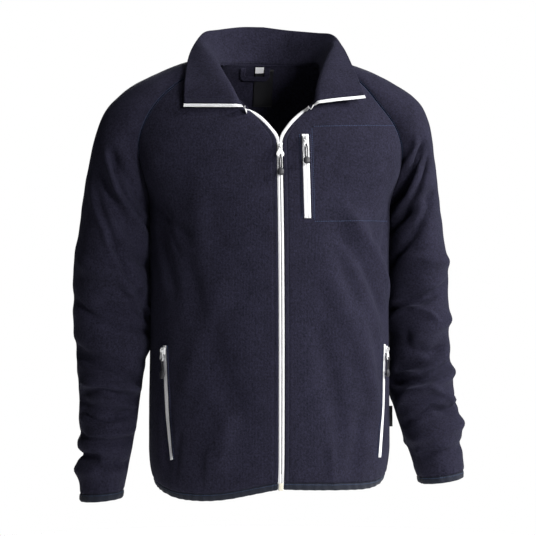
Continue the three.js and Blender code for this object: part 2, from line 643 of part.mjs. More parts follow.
// The middle of the collar's wall starts this far off the neck seam,
// further where the collar leans out over the shoulders
const COLLAR_LIFT = [
  { at: 0.0, lift: 1.8 },
  { at: 0.3, lift: 2.1 },
  { at: 0.5, lift: 3.3 },
  { at: 0.62, lift: 3.4 },
  { at: 0.7, lift: 2.6 },
  { at: 0.8, lift: 1.2 },
  { at: 0.9, lift: 0.6 },
  { at: 1.0, lift: 0.5 },
];
const COLLAR_FRONT_LIFT = 2.9;

// Collar: one sheet from the right front end round the back to the left front end
function collarPoint(along, height) {
  const side = along < 0 ? -1 : 1;
  const table = side < 0 ? COLLAR_RIGHT : COLLAR_LEFT;
  const at = 1 - Math.abs(along);
  const seam = neckPoint(side, at);
  const roll = vector(side * columnAt(table, 'rx', at), columnAt(table, 'ry', at), columnAt(table, 'rz', at));
  const edge = vector(side * columnAt(table, 'ex', at), columnAt(table, 'ey', at), columnAt(table, 'ez', at));
  seam.addScaledVector(roll.clone().sub(seam).normalize(), columnAt(COLLAR_LIFT, 'lift', at));
  seam.y -= mix(COLLAR_FRONT_LIFT, 0, smooth(at / 0.3));
  const rollAt = roll.distanceTo(seam) / (roll.distanceTo(seam) + roll.distanceTo(edge));
  const section = [
    { at: 0, x: seam.x, y: seam.y, z: seam.z },
    { at: rollAt, x: roll.x, y: roll.y, z: roll.z },
    { at: 1, x: edge.x, y: edge.y, z: edge.z },
  ];
  return pointAt(section, height);
}
const collarAlongs = steps(COLLAR_COLUMNS).map((k) => 2 * k - 1);
const collar = makePanel(
  steps(COLLAR_ROWS).map((height) => collarAlongs.map((along) => collarPoint(along, height))),
  () => vector(COLLAR_MIDDLE.x, 0, COLLAR_MIDDLE.top),
);

// Takes the last rows of a panel off for its binding, which starts a seam gap below the panel
function cutBinding(panel) {
  const from = panel.grid.length - 1 - BINDING_ROWS;
  const rows = {
    grid: panel.grid.slice(from).map((row) => row.map((point) => point.clone())),
    normals: panel.normals.slice(from).map((row) => row.map((normal) => normal.clone())),
  };
  rows.grid[0].forEach((point, c) => {
    point.addScaledVector(rows.grid[1][c].clone().sub(point).normalize(), SEAM_GAP);
  });
  panel.grid.splice(from + 1);
  panel.normals.splice(from + 1);
  return rows;
}

// Point on a panel at a fractional row and column, with its normal
function panelPlace(panel, row, column) {
  const r = Math.min(panel.grid.length - 2, Math.floor(row));
  const c = Math.min(panel.grid[0].length - 2, Math.floor(column));
  const blend = (grid) => {
    const above = grid[r][c].clone().lerp(grid[r][c + 1], column - c);
    const below = grid[r + 1][c].clone().lerp(grid[r + 1][c + 1], column - c);
    return above.lerp(below, row - r);
  };
  return { point: blend(panel.grid), normal: blend(panel.normals).normalize() };
}

// Value between two limits where a rising function reaches zero
function solveRising(low, high, difference) {
  let [from, to] = [low, high];
  for (let i = 0; i < 30; i += 1) {
    const half = (from + to) / 2;
    if (difference(half) < 0) from = half;
    else to = half;
  }
  return (from + to) / 2;
}

// Place on a panel that has the given x and z, searched between two columns
function placeAt(panel, x, z, columns) {
  const rowFor = (column) => solveRising(0, panel.grid.length - 1.001, (row) => (
    z - panelPlace(panel, row, column).point.z
  ));
  const rising = Math.sign(panelPlace(panel, rowFor(columns[1]), columns[1]).point.x
    - panelPlace(panel, rowFor(columns[0]), columns[0]).point.x);
  const column = solveRising(columns[0], columns[1], (c) => (
    rising * (panelPlace(panel, rowFor(c), c).point.x - x)
  ));
  return panelPlace(panel, rowFor(column), column);
}

// Flat strip on a panel: its path gives x and z in turn, and it lies off the panel by lift.
// A lift below zero puts it behind the panel.
function stripOnPanel(panel, columns, path, width, wall, lift) {
  const places = path.map(([x, z], i) => {
    const before = path[Math.max(0, i - 1)];
    const after = path[Math.min(path.length - 1, i + 1)];
    const run = new THREE.Vector2(after[0] - before[0], after[1] - before[1]).normalize();
    return [-0.5, 0, 0.5].map((share) => (
      placeAt(panel, x - run.y * width * share, z + run.x * width * share, columns)
    ));
  });
  const strip = {
    grid: places.map((row) => row.map((place) => place.point)),
    normals: places.map((row) => row.map((place) => place.normal)),
  };
  return panelWall(strip, wall, lift + wall);
}

// Gap between the tape and the cloth where the tape turns over, the rows that it reaches
// and how far forward the tape faces there
const TURN_CLEAR = 0.8;
const TURN_ROWS = 3;
const TURN_FORWARD = 1.5;

// Zip tape along a front edge and the end of the collar.
// It turns over where the collar folds out, so that its inner side shows there.
function makeTape(side, front, collarColumn) {
  const inwards = collarColumn === 0 ? 1 : -1;
  const bodyEdge = front.grid.map((row, r) => ({
    point: row[0].clone().addScaledVector(front.normals[r][0], -FLEECE_WALL / 2),
    away: row[0].clone().sub(row[1]),
    face: front.normals[r][0],
  })).reverse();
  const collarEdge = collar.grid.map((row, r) => ({
    point: row[collarColumn],
    away: row[collarColumn].clone().sub(row[collarColumn + inwards]),
    face: collar.normals[r][collarColumn],
  }));
  const edge = [...bodyEdge, ...collarEdge];
  const runs = edge.map((_, i) => {
    const before = edge[Math.max(0, i - 1)].point;
    const after = edge[Math.min(edge.length - 1, i + 1)].point;
    return after.clone().sub(before).normalize();
  });
  const across = (vectorIn, ...others) => others.reduce((left, other) => (
    left.addScaledVector(other, -left.dot(other))
  ), vectorIn.clone()).normalize();
  const outs = edge.map(({ away, face }, i) => across(across(away, face), runs[i]));
  // The two rows at the neck seam face forward, halfway through the turn
  const turnFrom = bodyEdge.length - 1;
  [turnFrom, turnFrom + 1].forEach((i) => {
    const forward = outs[turnFrom - 1].clone().add(outs[turnFrom + 2]).add(vector(0, -TURN_FORWARD, 0));
    outs[i] = across(forward, runs[i]);
  });
  const clear = (i) => (Math.abs(i - turnFrom - 0.5) < TURN_ROWS ? TURN_CLEAR : SEAM_GAP);
  return {
    grid: edge.map(({ point }, i) => [clear(i), SEAM_GAP + TAPE_SHOWING].map((reach) => (
      point.clone().addScaledVector(outs[i], reach)
    ))),
    normals: edge.map((_, i) => {
      const normal = runs[i].clone().cross(outs[i]).multiplyScalar(side);
      return [normal, normal];
    }),
  };
}
const tapes = {
  right: makeTape(-1, fronts.right, 0),
  left: makeTape(1, fronts.left, COLLAR_COLUMNS),
};

// Bindings: the hem in one strip from zip to zip, each cuff in a ring
const hemParts = [cutBinding(fronts.right), cutBinding(back), cutBinding(fronts.left)];
const hemRows = (name) => hemParts[0][name].map((row, r) => [
  ...row,
  ...hemParts[1][name][r].slice(1, -1),
  ...[...hemParts[2][name][r]].reverse(),
]);
const hemBinding = { grid: hemRows('grid'), normals: hemRows('normals') };
function cuffRing(sleeve) {
  const rows = cutBinding(sleeve);
  return {
    grid: rows.grid.map((row) => row.slice(0, -1)),
    normals: rows.normals.map((row) => row.slice(0, -1)),
  };
}
const cuffs = { right: cuffRing(sleeves.right), left: cuffRing(sleeves.left) };

// Corners closer than this are one
const MERGE_DISTANCE = 1e-3;

// Closed geometry as a solid, and back
function toSolid(geometry) {
  const bare = geometry.clone();
  bare.deleteAttribute('normal');
  bare.deleteAttribute('uv');
  const merged = mergeVertices(bare, MERGE_DISTANCE);
  return new wasm.Manifold(new wasm.Mesh({
    numProp: 3,
    vertProperties: new Float32Array(merged.getAttribute('position').array),
    triVerts: new Uint32Array(merged.getIndex().array),
  }));
}
function fromSolid(solid) {
  const mesh = solid.getMesh();
  const geometry = new THREE.BufferGeometry();
  geometry.setAttribute('position', new THREE.Float32BufferAttribute(mesh.vertProperties, 3));
  geometry.setIndex([...mesh.triVerts]);
  return geometry;
}

// Outline of a plate with straight or rounded sides, from half widths at heights
function plateShape(profile) {
  const shape = new THREE.Shape();
  const right = profile.map(([half, z]) => new THREE.Vector2(half, z));
  const left = profile.map(([half, z]) => new THREE.Vector2(-half, z)).reverse();
  shape.moveTo(right[0].x, right[0].y);
  shape.splineThru(right.slice(1));
  shape.lineTo(left[0].x, left[0].y);
  shape.splineThru(left.slice(1));
  shape.closePath();
  return shape;
}

// Extrudes a shape drawn in x and z from one depth towards the viewer.
// The result faces -Y, as the front of the jacket does.
function plateToward(shape, from, thickness, segments = 5) {
  const geometry = new THREE.ExtrudeGeometry(shape, {
    depth: thickness, bevelEnabled: false, curveSegments: segments,
  });
  geometry.rotateX(Math.PI / 2);
  geometry.translate(0, -from, 0);
  return geometry;
}

// Zip slider: a waisted body with a small arch that holds the pull tab.
// The hinge of the tab is the origin, and the tape lies behind at y = SLIDER_BACK.
const SLIDER_THICK = 3.2;
const HINGE_OFF_SLIDER = 1.5;
const SLIDER_FRONT = HINGE_OFF_SLIDER;
const SLIDER_BACK = SLIDER_FRONT + SLIDER_THICK;
const ARCH_WIDE = 1.8;
const ARCH_WALL = 1.1;
const ARCH_ABOVE = 3.2;
const ARCH_BELOW = 2.3;
const ARCH_REACH = HINGE_OFF_SLIDER + ARCH_WALL;
function sliderGeometry(wide, tall) {
  const half = wide / 2;
  const body = plateShape([
    [half * 0.8, -tall * 0.55],
    [half * 0.78, -tall * 0.25],
    [half * 0.8, 0],
    [half, tall * 0.3],
    [half * 0.7, tall * 0.45],
  ]);
  const arch = new THREE.Shape();
  arch.moveTo(SLIDER_FRONT + ARCH_WALL, ARCH_ABOVE);
  arch.lineTo(-ARCH_REACH + 1, ARCH_ABOVE);
  arch.lineTo(-ARCH_REACH, ARCH_ABOVE - 1);
  arch.lineTo(-ARCH_REACH, -ARCH_BELOW + 0.8);
  arch.lineTo(-ARCH_REACH + 0.8, -ARCH_BELOW);
  arch.lineTo(SLIDER_FRONT + ARCH_WALL, -ARCH_BELOW);
  arch.closePath();
  const eye = new THREE.Path();
  eye.moveTo(SLIDER_FRONT, ARCH_ABOVE - ARCH_WALL);
  eye.lineTo(-ARCH_REACH + ARCH_WALL, ARCH_ABOVE - ARCH_WALL);
  eye.lineTo(-ARCH_REACH + ARCH_WALL, -ARCH_BELOW + ARCH_WALL);
  eye.lineTo(SLIDER_FRONT, -ARCH_BELOW + ARCH_WALL);
  eye.closePath();
  arch.holes.push(eye);
  const bridge = new THREE.ExtrudeGeometry(arch, { depth: ARCH_WIDE, bevelEnabled: false });
  // Shape x becomes the depth y and shape y the height z
  bridge.applyMatrix4(new THREE.Matrix4().set(
    0, 0, 1, -ARCH_WIDE / 2,
    1, 0, 0, 0,
    0, 1, 0, 0,
    0, 0, 0, 1,
  ));
  const plate = plateToward(body, -SLIDER_BACK, SLIDER_THICK);
  return fromSolid(toSolid(plate).add(toSolid(bridge)));
}

// Pull tab: a flat drop with a slot round the arch and a hole for the cord
const TAB_THICK = 1.4;
const TAB_BAR = 0.8;
const TAB_SLOT_END = 4.9;
const TAB_HOLE = 1.6;
const TAB_BELOW_HOLE = 2.4;
const TAB_SIDE = 1.1;
const SLOT_CLEAR = 0.45;
function tabGeometry(wide, tall) {
  const slotHalf = ARCH_WIDE / 2 + SLOT_CLEAR;
  const side = slotHalf + TAB_SIDE;
  const tab = plateShape([
    [side * 0.7, TAB_BAR],
    [side, 0],
    [side, -TAB_SLOT_END - 0.4],
    [wide / 2, -tall * 0.62],
    [wide / 2 * 0.92, -tall * 0.82],
    [wide / 2 * 0.45, -tall * 0.97],
  ]);
  const slot = new THREE.Path();
  slot.moveTo(-slotHalf, -TAB_BAR);
  slot.lineTo(-slotHalf, -TAB_SLOT_END);
  slot.lineTo(slotHalf, -TAB_SLOT_END);
  slot.lineTo(slotHalf, -TAB_BAR);
  slot.closePath();
  const hole = new THREE.Path();
  hole.absarc(0, -tall + TAB_HOLE + TAB_BELOW_HOLE, TAB_HOLE, 0, Math.PI * 2);
  tab.holes.push(slot, hole);
  return plateToward(tab, -TAB_THICK / 2, TAB_THICK);
}

// Cord loop through the hole of the tab, with its two ends in a moulded grip
const CORD_RADIUS = 1.1;
const CORD_BEND = 2.1;
const CORD_ASIDE = 1.7;
const CORD_STEPS = 20;
const GRIP_DEEP = 0.55;
const GRIP_SIDES = 12;
const GRIP_PROFILE = [
  { radius: 0, height: 0 },
  { radius: 0.55, height: 0.02 },
  { radius: 0.85, height: 0.16 },
  { radius: 1, height: 0.45 },
  { radius: 0.92, height: 0.7 },
  { radius: 0.6, height: 0.92 },
  { radius: 0.35, height: 1 },
  { radius: 0, height: 1 },
];
function cordGeometry(tabTall, cordLong, gripWide, gripTall) {
  const hole = -tabTall + TAB_HOLE + TAB_BELOW_HOLE;
  const gripTop = -tabTall - cordLong;
  const half = [
    [0, 0, hole],
    [0.1, -CORD_BEND, hole - 0.9],
    [0.9, -CORD_BEND, hole - 3.4],
    [CORD_ASIDE, -0.8, hole - 8],
    [CORD_ASIDE, -0.3, gripTop + 2],
    [CORD_ASIDE * 0.8, 0, gripTop - gripTall * 0.3],
  ].map(([x, y, z]) => vector(x, y, z));
  const other = half.slice(1).map((point) => vector(-point.x, -point.y, point.z));
  const route = new THREE.CatmullRomCurve3([...other.reverse(), ...half]);
  const section = new THREE.Shape();
  section.absarc(0, 0, CORD_RADIUS, 0, Math.PI * 2);
  const loop = new THREE.ExtrudeGeometry(section, {
    steps: CORD_STEPS, extrudePath: route, curveSegments: 4, bevelEnabled: false,
  });
  const grip = new THREE.LatheGeometry(GRIP_PROFILE.map(({ radius, height }) => (
    new THREE.Vector2(radius * gripWide / 2, height * gripTall)
  )), GRIP_SIDES);
  grip.rotateX(Math.PI / 2);
  grip.scale(1, GRIP_DEEP, 1);
  grip.translate(0, 0, gripTop - gripTall);
  return fromSolid(toSolid(faceOutward(indexed(loop))).add(toSolid(faceOutward(indexed(grip)))));
}
function indexed(geometry) {
  const bare = geometry.clone();
  bare.deleteAttribute('normal');
  bare.deleteAttribute('uv');
  return mergeVertices(bare, MERGE_DISTANCE);
}

// Loop, tab and labels inside the neck and on the side seam
const NECK_LABEL = { x: 0.5, wide: 34, top: -1, bottom: -64 };
const SIZE_LABEL = { x: -8, wide: 15, top: 3, bottom: -7 };
const HANGING_LOOP = { left: -38, right: 6, top: 1, bottom: -16, wide: 9, corner: 6 };
const LABEL_WALL = 0.8;
const LOOP_WALL = 1.2;
const SIDE_LABEL = { z: -595, tall: 35, reach: 8, wall: 1.2, offSeam: 0.5 };
const BACK_SPAN = [3, 13];
const straightPath = (x0, z0, x1, z1, count) => (
  steps(count).map((k) => [mix(x0, x1, k), mix(z0, z1, k)])
);
function loopPath() {
  const { left, right, top, bottom, corner } = HANGING_LOOP;
  const turn = (x, from) => steps(4).slice(1).map((k) => {
    const angle = (from + 90 * k) * degrees;
    return [x + corner * Math.cos(angle), bottom + corner + corner * Math.sin(angle)];
  });
  return [
    [left, top],
    [left, bottom + corner],
    ...turn(left + corner, 180),
    [right - corner, bottom],
    ...turn(right - corner, 270),
    [right, top],
  ];
}

const material = (color, roughness, metalness = 0) => new THREE.MeshStandardMaterial({
  color, roughness, metalness, side: THREE.DoubleSide,
});
const fleece = material(NAVY, 0.95);
const binding = material(BINDING_BLUE, 0.8);
const zipTape = material(ZIP_WHITE, 0.8);
const zipPlastic = material(ZIP_WHITE, 0.4);
const creamPlastic = material(CREAM, 0.5);
const cordBlack = material(CORD_BLACK, 0.7);
const labelBlack = material(LABEL_BLACK, 0.6);

const jacket = new THREE.Group();
jacket.name = 'fleece_zip_jacket';
function addPiece(name, geometry, finish, parent = jacket) {
  const mesh = new THREE.Mesh(geometry, finish);
  mesh.name = name;
  parent.add(mesh);
  return mesh;
}

addPiece('front_right', panelWall(fronts.right, FLEECE_WALL), fleece);
addPiece('front_left', panelWall(fronts.left, FLEECE_WALL), fleece);
addPiece('back', panelWall(back, FLEECE_WALL), fleece);
addPiece('sleeve_right', panelWall(sleeves.right, FLEECE_WALL), fleece);
addPiece('sleeve_left', panelWall(sleeves.left, FLEECE_WALL), fleece);
addPiece('collar', panelWall(collar, COLLAR_WALL, COLLAR_WALL / 2), fleece);
addPiece('hem_binding', panelWall(hemBinding, BINDING_WALL, BINDING_PROUD), binding);
addPiece('cuff_binding_right', panelWall(cuffs.right, BINDING_WALL, BINDING_PROUD, true), binding);
addPiece('cuff_binding_left', panelWall(cuffs.left, BINDING_WALL, BINDING_PROUD, true), binding);
addPiece('zip_tape_right', panelWall(tapes.right, TAPE_WALL, TAPE_WALL / 2), zipTape);
addPiece('zip_tape_left', panelWall(tapes.left, TAPE_WALL, TAPE_WALL / 2), zipTape);

// Slider, tab and cord of a zip, in a group whose origin is the hinge of the tab
function addSlider(name, place, run, sizes, surfaceLift) {
  const group = new THREE.Group();
  const out = place.normal.clone();
  const up = run.clone().addScaledVector(out, -run.dot(out)).normalize();
  const across = up.clone().cross(out);
  const turn = new THREE.Matrix4().makeBasis(across, out.clone().negate(), up);
  const hinge = place.point.clone().addScaledVector(out, surfaceLift + SEAM_GAP + SLIDER_BACK);
  group.applyMatrix4(turn.setPosition(hinge));
  jacket.add(group);
  addPiece(`${name}_slider`, sliderGeometry(sizes.wide, sizes.tall), zipPlastic, group);
  addPiece(`${name}_tab`, tabGeometry(sizes.tabWide, sizes.tabTall), zipPlastic, group);
  const cord = cordGeometry(sizes.tabTall, sizes.cordLong, sizes.gripWide, sizes.gripTall);
  addPiece(`${name}_cord_pull`, cord, cordBlack, group);
}

// Main zip: its slider stands where the fronts part
const MAIN_SLIDER = { wide: 9, tall: 13, tabWide: 12, tabTall: 20, cordLong: 16, gripWide: 11, gripTall: 13 };
const MAIN_SLIDER_Z = -148;
const SLIDER_RUN = 25;
const SLIDER_LIFT = 0.2;
const BESIDE_ZIP = ZIP_HALF + 0.2;
const frontColumns = [0, FRONT_COLUMNS];
const zipTop = placeAt(fronts.left, BESIDE_ZIP, MAIN_SLIDER_Z, frontColumns);
const zipLower = placeAt(fronts.left, BESIDE_ZIP, MAIN_SLIDER_Z - SLIDER_RUN, frontColumns);
addSlider(
  'main',
  { point: zipTop.point.clone().setX(0), normal: zipTop.normal.clone().setX(0).normalize() },
  zipTop.point.clone().sub(zipLower.point).setX(0).normalize(),
  MAIN_SLIDER,
  SLIDER_LIFT,
);

// Box at the foot of the zip, between the two ends of the hem binding
const BOX_WALL = 2.4;
const BOX_PROUD = 2.2;
const BOX_SIDE_GAP = 0.6;
const boxPanel = {
  grid: hemBinding.grid.map((row) => {
    const inset = vector(BOX_SIDE_GAP, 0, 0);
    return [row[0].clone().add(inset), row[row.length - 1].clone().sub(inset)];
  }),
  normals: hemBinding.normals.map((row) => [row[0], row[row.length - 1]]),
};
addPiece('zip_box', panelWall(boxPanel, BOX_WALL, BOX_PROUD), creamPlastic);

// Zips that lie on the fronts
const POCKET_ZIP_WALL = 1.2;
const POCKET_ZIP_LIFT = 0.5;
const POCKET_SLIDER = { wide: 9, tall: 12, tabWide: 9, tabTall: 18, cordLong: 15, gripWide: 11, gripTall: 13 };
const CHEST_SLIDER = { wide: 10, tall: 11, tabWide: 9, tabTall: 15, cordLong: 16, gripWide: 11, gripTall: 12 };
const SIDE_ZIP = [
  { at: 0.0, x: 181, z: -470 },
  { at: 0.5, x: 177.5, z: -565 },
  { at: 1.0, x: 170, z: -655 },
];
const CHEST_ZIP = { x: 42, top: -128, bottom: -264, wide: 11 };
const CHEST_ZIP_LEAN = 1.5;
const SIDE_ZIP_WIDE = 8;
const SLIDER_DOWN = 8;
const POCKET_SLIDER_RUN = 20;
function addPanelZip(name, panel, path, wide, sliderSizes) {
  const strip = stripOnPanel(panel, frontColumns, path, wide, POCKET_ZIP_WALL, POCKET_ZIP_LIFT);
  addPiece(`${name}_zip`, strip, zipTape);
  const [x, z] = path[0];
  const seat = placeAt(panel, x, z - SLIDER_DOWN, frontColumns);
  const lowerZ = z - SLIDER_DOWN - POCKET_SLIDER_RUN;
  const below = placeAt(panel, mix(x, path[1][0], 0.5), lowerZ, frontColumns);
  const run = seat.point.clone().sub(below.point).normalize();
  addSlider(name, seat, run, sliderSizes, POCKET_ZIP_WALL + POCKET_ZIP_LIFT + SLIDER_LIFT);
}
const chestLow = CHEST_ZIP.x + CHEST_ZIP_LEAN;
const chestPath = straightPath(CHEST_ZIP.x, CHEST_ZIP.top, chestLow, CHEST_ZIP.bottom, 12);
addPanelZip('chest', fronts.left, chestPath, CHEST_ZIP.wide, CHEST_SLIDER);
for (const [name, side] of [['right', -1], ['left', 1]]) {
  const path = steps(14).map((k) => [side * columnAt(SIDE_ZIP, 'x', k), columnAt(SIDE_ZIP, 'z', k)]);
  addPanelZip(`pocket_${name}`, fronts[name], path, SIDE_ZIP_WIDE, POCKET_SLIDER);
}

// Inside the neck: each piece lies off the inner side of the back by a lift
const NECK_LABEL_LIFT = 0.5;
const SIZE_LABEL_LIFT = NECK_LABEL_LIFT + LABEL_WALL + SEAM_GAP;
const LOOP_LIFT = 2.2;
const inside = (lift, wall) => -(FLEECE_WALL + lift + wall);
const labelPath = straightPath(NECK_LABEL.x, NECK_LABEL.top, NECK_LABEL.x, NECK_LABEL.bottom, 8);
const sizePath = straightPath(SIZE_LABEL.x, SIZE_LABEL.top, SIZE_LABEL.x, SIZE_LABEL.bottom, 2);
function addInside(name, path, wide, wall, lift, finish) {
  addPiece(name, stripOnPanel(back, BACK_SPAN, path, wide, wall, inside(lift, wall)), finish);
}
addInside('neck_label', labelPath, NECK_LABEL.wide, LABEL_WALL, NECK_LABEL_LIFT, labelBlack);
addInside('size_label', sizePath, SIZE_LABEL.wide, LABEL_WALL, SIZE_LABEL_LIFT, zipTape);
addInside('hanging_loop', loopPath(), HANGING_LOOP.wide, LOOP_WALL, LOOP_LIFT, fleece);

// Label in the side seam of the wearer's left
const sideRow = fronts.left.grid.findIndex((row) => row[FRONT_COLUMNS].z < SIDE_LABEL.z);
const sideSeam = fronts.left.grid[sideRow][FRONT_COLUMNS];
const sideLabel = new THREE.BoxGeometry(SIDE_LABEL.reach, SIDE_LABEL.wall, SIDE_LABEL.tall);
const sideLabelMesh = addPiece('side_label', sideLabel, labelBlack);
sideLabelMesh.position.set(sideSeam.x + SIDE_LABEL.reach / 2 + SIDE_LABEL.offSeam, sideSeam.y, SIDE_LABEL.z);

export default jacket;
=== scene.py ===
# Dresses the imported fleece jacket: napped cloth, bindings, zips, cord pulls, labels and sewing.
# Sizes are in millimetres unless a name says otherwise, and become metres when a mesh is made.
import functools
import json
import math

import bmesh
import bpy
import numpy as np
from mathutils import Matrix, Vector, noise


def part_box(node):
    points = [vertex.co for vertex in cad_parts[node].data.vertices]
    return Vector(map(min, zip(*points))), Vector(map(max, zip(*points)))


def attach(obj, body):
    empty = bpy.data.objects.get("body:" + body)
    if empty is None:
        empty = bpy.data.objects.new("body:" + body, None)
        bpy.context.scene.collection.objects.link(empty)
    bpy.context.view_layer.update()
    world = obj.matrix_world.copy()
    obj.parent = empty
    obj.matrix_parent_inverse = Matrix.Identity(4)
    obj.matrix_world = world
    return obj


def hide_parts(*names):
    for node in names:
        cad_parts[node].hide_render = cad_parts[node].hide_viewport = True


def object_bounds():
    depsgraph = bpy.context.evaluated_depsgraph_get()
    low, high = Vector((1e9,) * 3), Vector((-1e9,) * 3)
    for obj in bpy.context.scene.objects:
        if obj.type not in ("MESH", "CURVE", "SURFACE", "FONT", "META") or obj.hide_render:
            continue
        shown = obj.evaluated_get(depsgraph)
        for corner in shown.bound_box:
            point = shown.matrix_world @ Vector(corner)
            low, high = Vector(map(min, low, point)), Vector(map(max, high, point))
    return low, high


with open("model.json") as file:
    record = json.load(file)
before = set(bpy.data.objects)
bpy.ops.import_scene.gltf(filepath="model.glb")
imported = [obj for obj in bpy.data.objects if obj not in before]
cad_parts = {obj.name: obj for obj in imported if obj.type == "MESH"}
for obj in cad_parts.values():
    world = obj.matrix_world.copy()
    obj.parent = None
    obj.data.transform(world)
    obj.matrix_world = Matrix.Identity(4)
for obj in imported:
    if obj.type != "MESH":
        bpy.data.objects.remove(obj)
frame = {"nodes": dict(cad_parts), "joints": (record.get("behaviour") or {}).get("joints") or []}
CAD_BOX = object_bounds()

bl_info = {
    "name": "Fleece Zip Jacket",
    "version": (1, 0, 0),
    "blender": (4, 5, 0),
    "location": "3D View > Sidebar > Jacket",
    "description": "Builds the cloth, zips, cords and sewing of a fleece zip jacket around its frame",
    "category": "Add Mesh",
}

MM = 0.001
# Shorter vectors count as this long, so that nothing is divided by zero
LEAST_LENGTH = 1e-9
BODY = "jacket"
# The sign of x on each side of the wearer
SIDES = {"right": -1, "left": 1}

# Driving sizes, the same as the solids have
FLEECE_WALL = 2.4
COLLAR_WALL = 4.4
BINDING_WALL = 3.4
BINDING_DEPTH = 12.0
SEAM_GAP = 0.3
TAPE_SHOWING = 3.8
ZIP_HALF = TAPE_SHOWING + 1.5 * SEAM_GAP
TORSO_SQUARENESS = 2.25
ARMPIT_LEVEL = -245.0
ARMPIT = (202.0, 0.0, -247.0)
ARMPIT_NORMAL = (0, 0, -1)
UPPER_ARM_DEPTH = 72.0
NECK_SHARE = 0.3
ARMPIT_SHARE = 0.15
TORSO_LENGTH = 455.0
ARM_LENGTH = 490.0
FRONT_GIRTH = 275.0
# Share of a front's girth over which its width beside the zip is measured
ZIP_PROBE = 0.02
NECK_AT_FRONT_SEAM = 0.46
NECK_AT_BACK_SEAM = 0.78
HEM_SHARE = BINDING_DEPTH / TORSO_LENGTH
CUFF_SHARE = BINDING_DEPTH / ARM_LENGTH

# Fineness of the cloth: the largest step between its points, and the rows of a binding
CLOTH_STEP = 4.0
BINDING_ROWS = 8
NEAR_EDGE = (0.0, 0.5, 1.0, 1.6, 2.3, 3.1, 4.0, 5.0, 6.0, 6.8, 7.4, 8.0, 8.6, 9.4, 10.6)

# Sizes that only place folds, rows and normals
RAGLAN_LENGTH = 300.0
ARM_GIRTH = 400.0
ARM_RADIUS = 60.0
# Degrees from the outer side of a sleeve to its inner seam
HALF_TURN = 180
FOLDS_START = 0.4
ROUNDING = 1.5
SLEEVE_MIDDLE = (200.0, -100.0)
FRONT_MIDDLE = (60.0, -120.0)
BACK_MIDDLE = (0.0, -60.0)

# The sleeves rest on the torso from the armpit down to where daylight shows between them
SLEEVE_CLEAR = -0.6
SLEEVE_RESTS_OVER = 20.0
INNER_FROM, INNER_OVER = 0.5, 0.4
SLEEVE_RESTS = {-1: (-240.0, -497.0), 1: (-240.0, -458.0)}


def table(columns, *rows):
    """A short table as one array for each named column."""
    names = columns.split()
    return {name: np.array([row[i] for row in rows], float) for i, name in enumerate(names)}


NECK_SEAM = table(
    "at x y z",
    (0.00, 58, -98, -80),
    (0.16, 67, -80, -62),
    (0.32, 75, -55, -42),
    (0.46, 81, -27, -22),
    (0.60, 83, 4, -5),
    (0.74, 78, 32, 2),
    (0.86, 58, 55, 5),
    (0.94, 30, 68, 6),
    (1.00, 0, 72, 6),
)
ZIP_OPENING = table(
    "at x y z",
    (0.0, 54, -99, -82),
    (0.2, 34, -107, -97),
    (0.4, 13, -117, -117),
    (0.55, 0, -125, -140),
    (0.75, 0, -131, -185),
    (1.0, 0, -139, ARMPIT_LEVEL),
)
BACK_LINE = table(
    "at y z",
    (0.0, 72, 6),
    (0.3, 97, -45),
    (0.6, 114, -120),
    (1.0, 122, ARMPIT_LEVEL),
)
TORSO = table(
    "at side front back",
    (0.00, 202, 139, 122),
    (0.18, 201, 146, 116),
    (0.38, 200, 150, 112),
    (0.58, 201, 151, 116),
    (0.80, 202, 150, 124),
    (0.90, 201, 149, 126),
    (0.96, 197, 145, 123),
    (1.00, 190, 139, 116),
)
HEM_RIGHT = table("at z", (0.0, -700), (0.3, -717), (0.6, -719), (1.0, -705), (1.5, -704), (2.0, -706))
HEM_LEFT = table("at z", (0.0, -700), (0.3, -704), (0.6, -706), (1.0, -694), (1.5, -698), (2.0, -706))

# Raglan part of each sleeve: front seam, ridge and back seam, and half the angle it turns through
RAGLAN_COLUMNS = "at fx fy fz rx ry rz bx by bz wrap"
RAGLAN_RIGHT = table(
    RAGLAN_COLUMNS,
    (0.00, 81, -27, -22, 83, 4, -5, 73, 40, 3, 90),
    (0.20, 134, -43, -27, 130, 8, 3, 113, 64, -10, 88),
    (0.40, 187, -61, -66, 196, 8, -23, 170, 82, -52, 95),
    (0.60, 219, -61, -121, 248, 5, -55, 205, 84, -110, 108),
    (0.80, 219, -43, -174, 283, 2, -99, 214, 60, -172, 132),
)
RAGLAN_LEFT = table(
    RAGLAN_COLUMNS,
    (0.00, 81, -27, -22, 83, 4, -5, 73, 40, 3, 90),
    (0.20, 133, -42, -25, 126, 8, 3, 112, 64, -10, 88),
    (0.40, 177, -60, -74, 190, 8, -19, 166, 82, -55, 95),
    (0.60, 209, -61, -124, 244, 5, -52, 202, 84, -112, 108),
    (0.80, 216, -43, -176, 271, 2, -98, 213, 60, -172, 132),
)
RIDGE_AT_ARMPIT = {-1: (306.0, 0.0, -192.0), 1: (284.0, 0.0, -192.0)}
TUBE_RIGHT = table(
    "at x y z wide deep tilt",
    (0.10, 262, 2, -290, 58, 73, 17),
    (0.22, 266, 5, -350, 62, 71, 8),
    (0.38, 266, 7, -425, 61, 69, 3),
    (0.52, 265, 5, -490, 58, 66, 0),
    (0.64, 267, 0, -545, 52, 62, 0),
    (0.76, 271, -6, -600, 48, 57, -1),
    (0.88, 277, -13, -660, 43, 50, -3),
    (1.00, 281, -22, -724, 34, 41, -5),
)
TUBE_LEFT = table(
    "at x y z wide deep tilt",
    (0.10, 250, 2, -290, 47, 73, 17),
    (0.22, 255, 5, -350, 50, 71, 8),
    (0.38, 256, 8, -420, 51, 68, 3),
    (0.52, 257, 7, -485, 52, 65, 0),
    (0.66, 260, 2, -545, 55, 61, 0),
    (0.78, 272, -6, -600, 53, 56, 2),
    (0.88, 281, -14, -646, 46, 50, 5),
    (1.00, 290, -24, -701, 38, 42, 8),
)

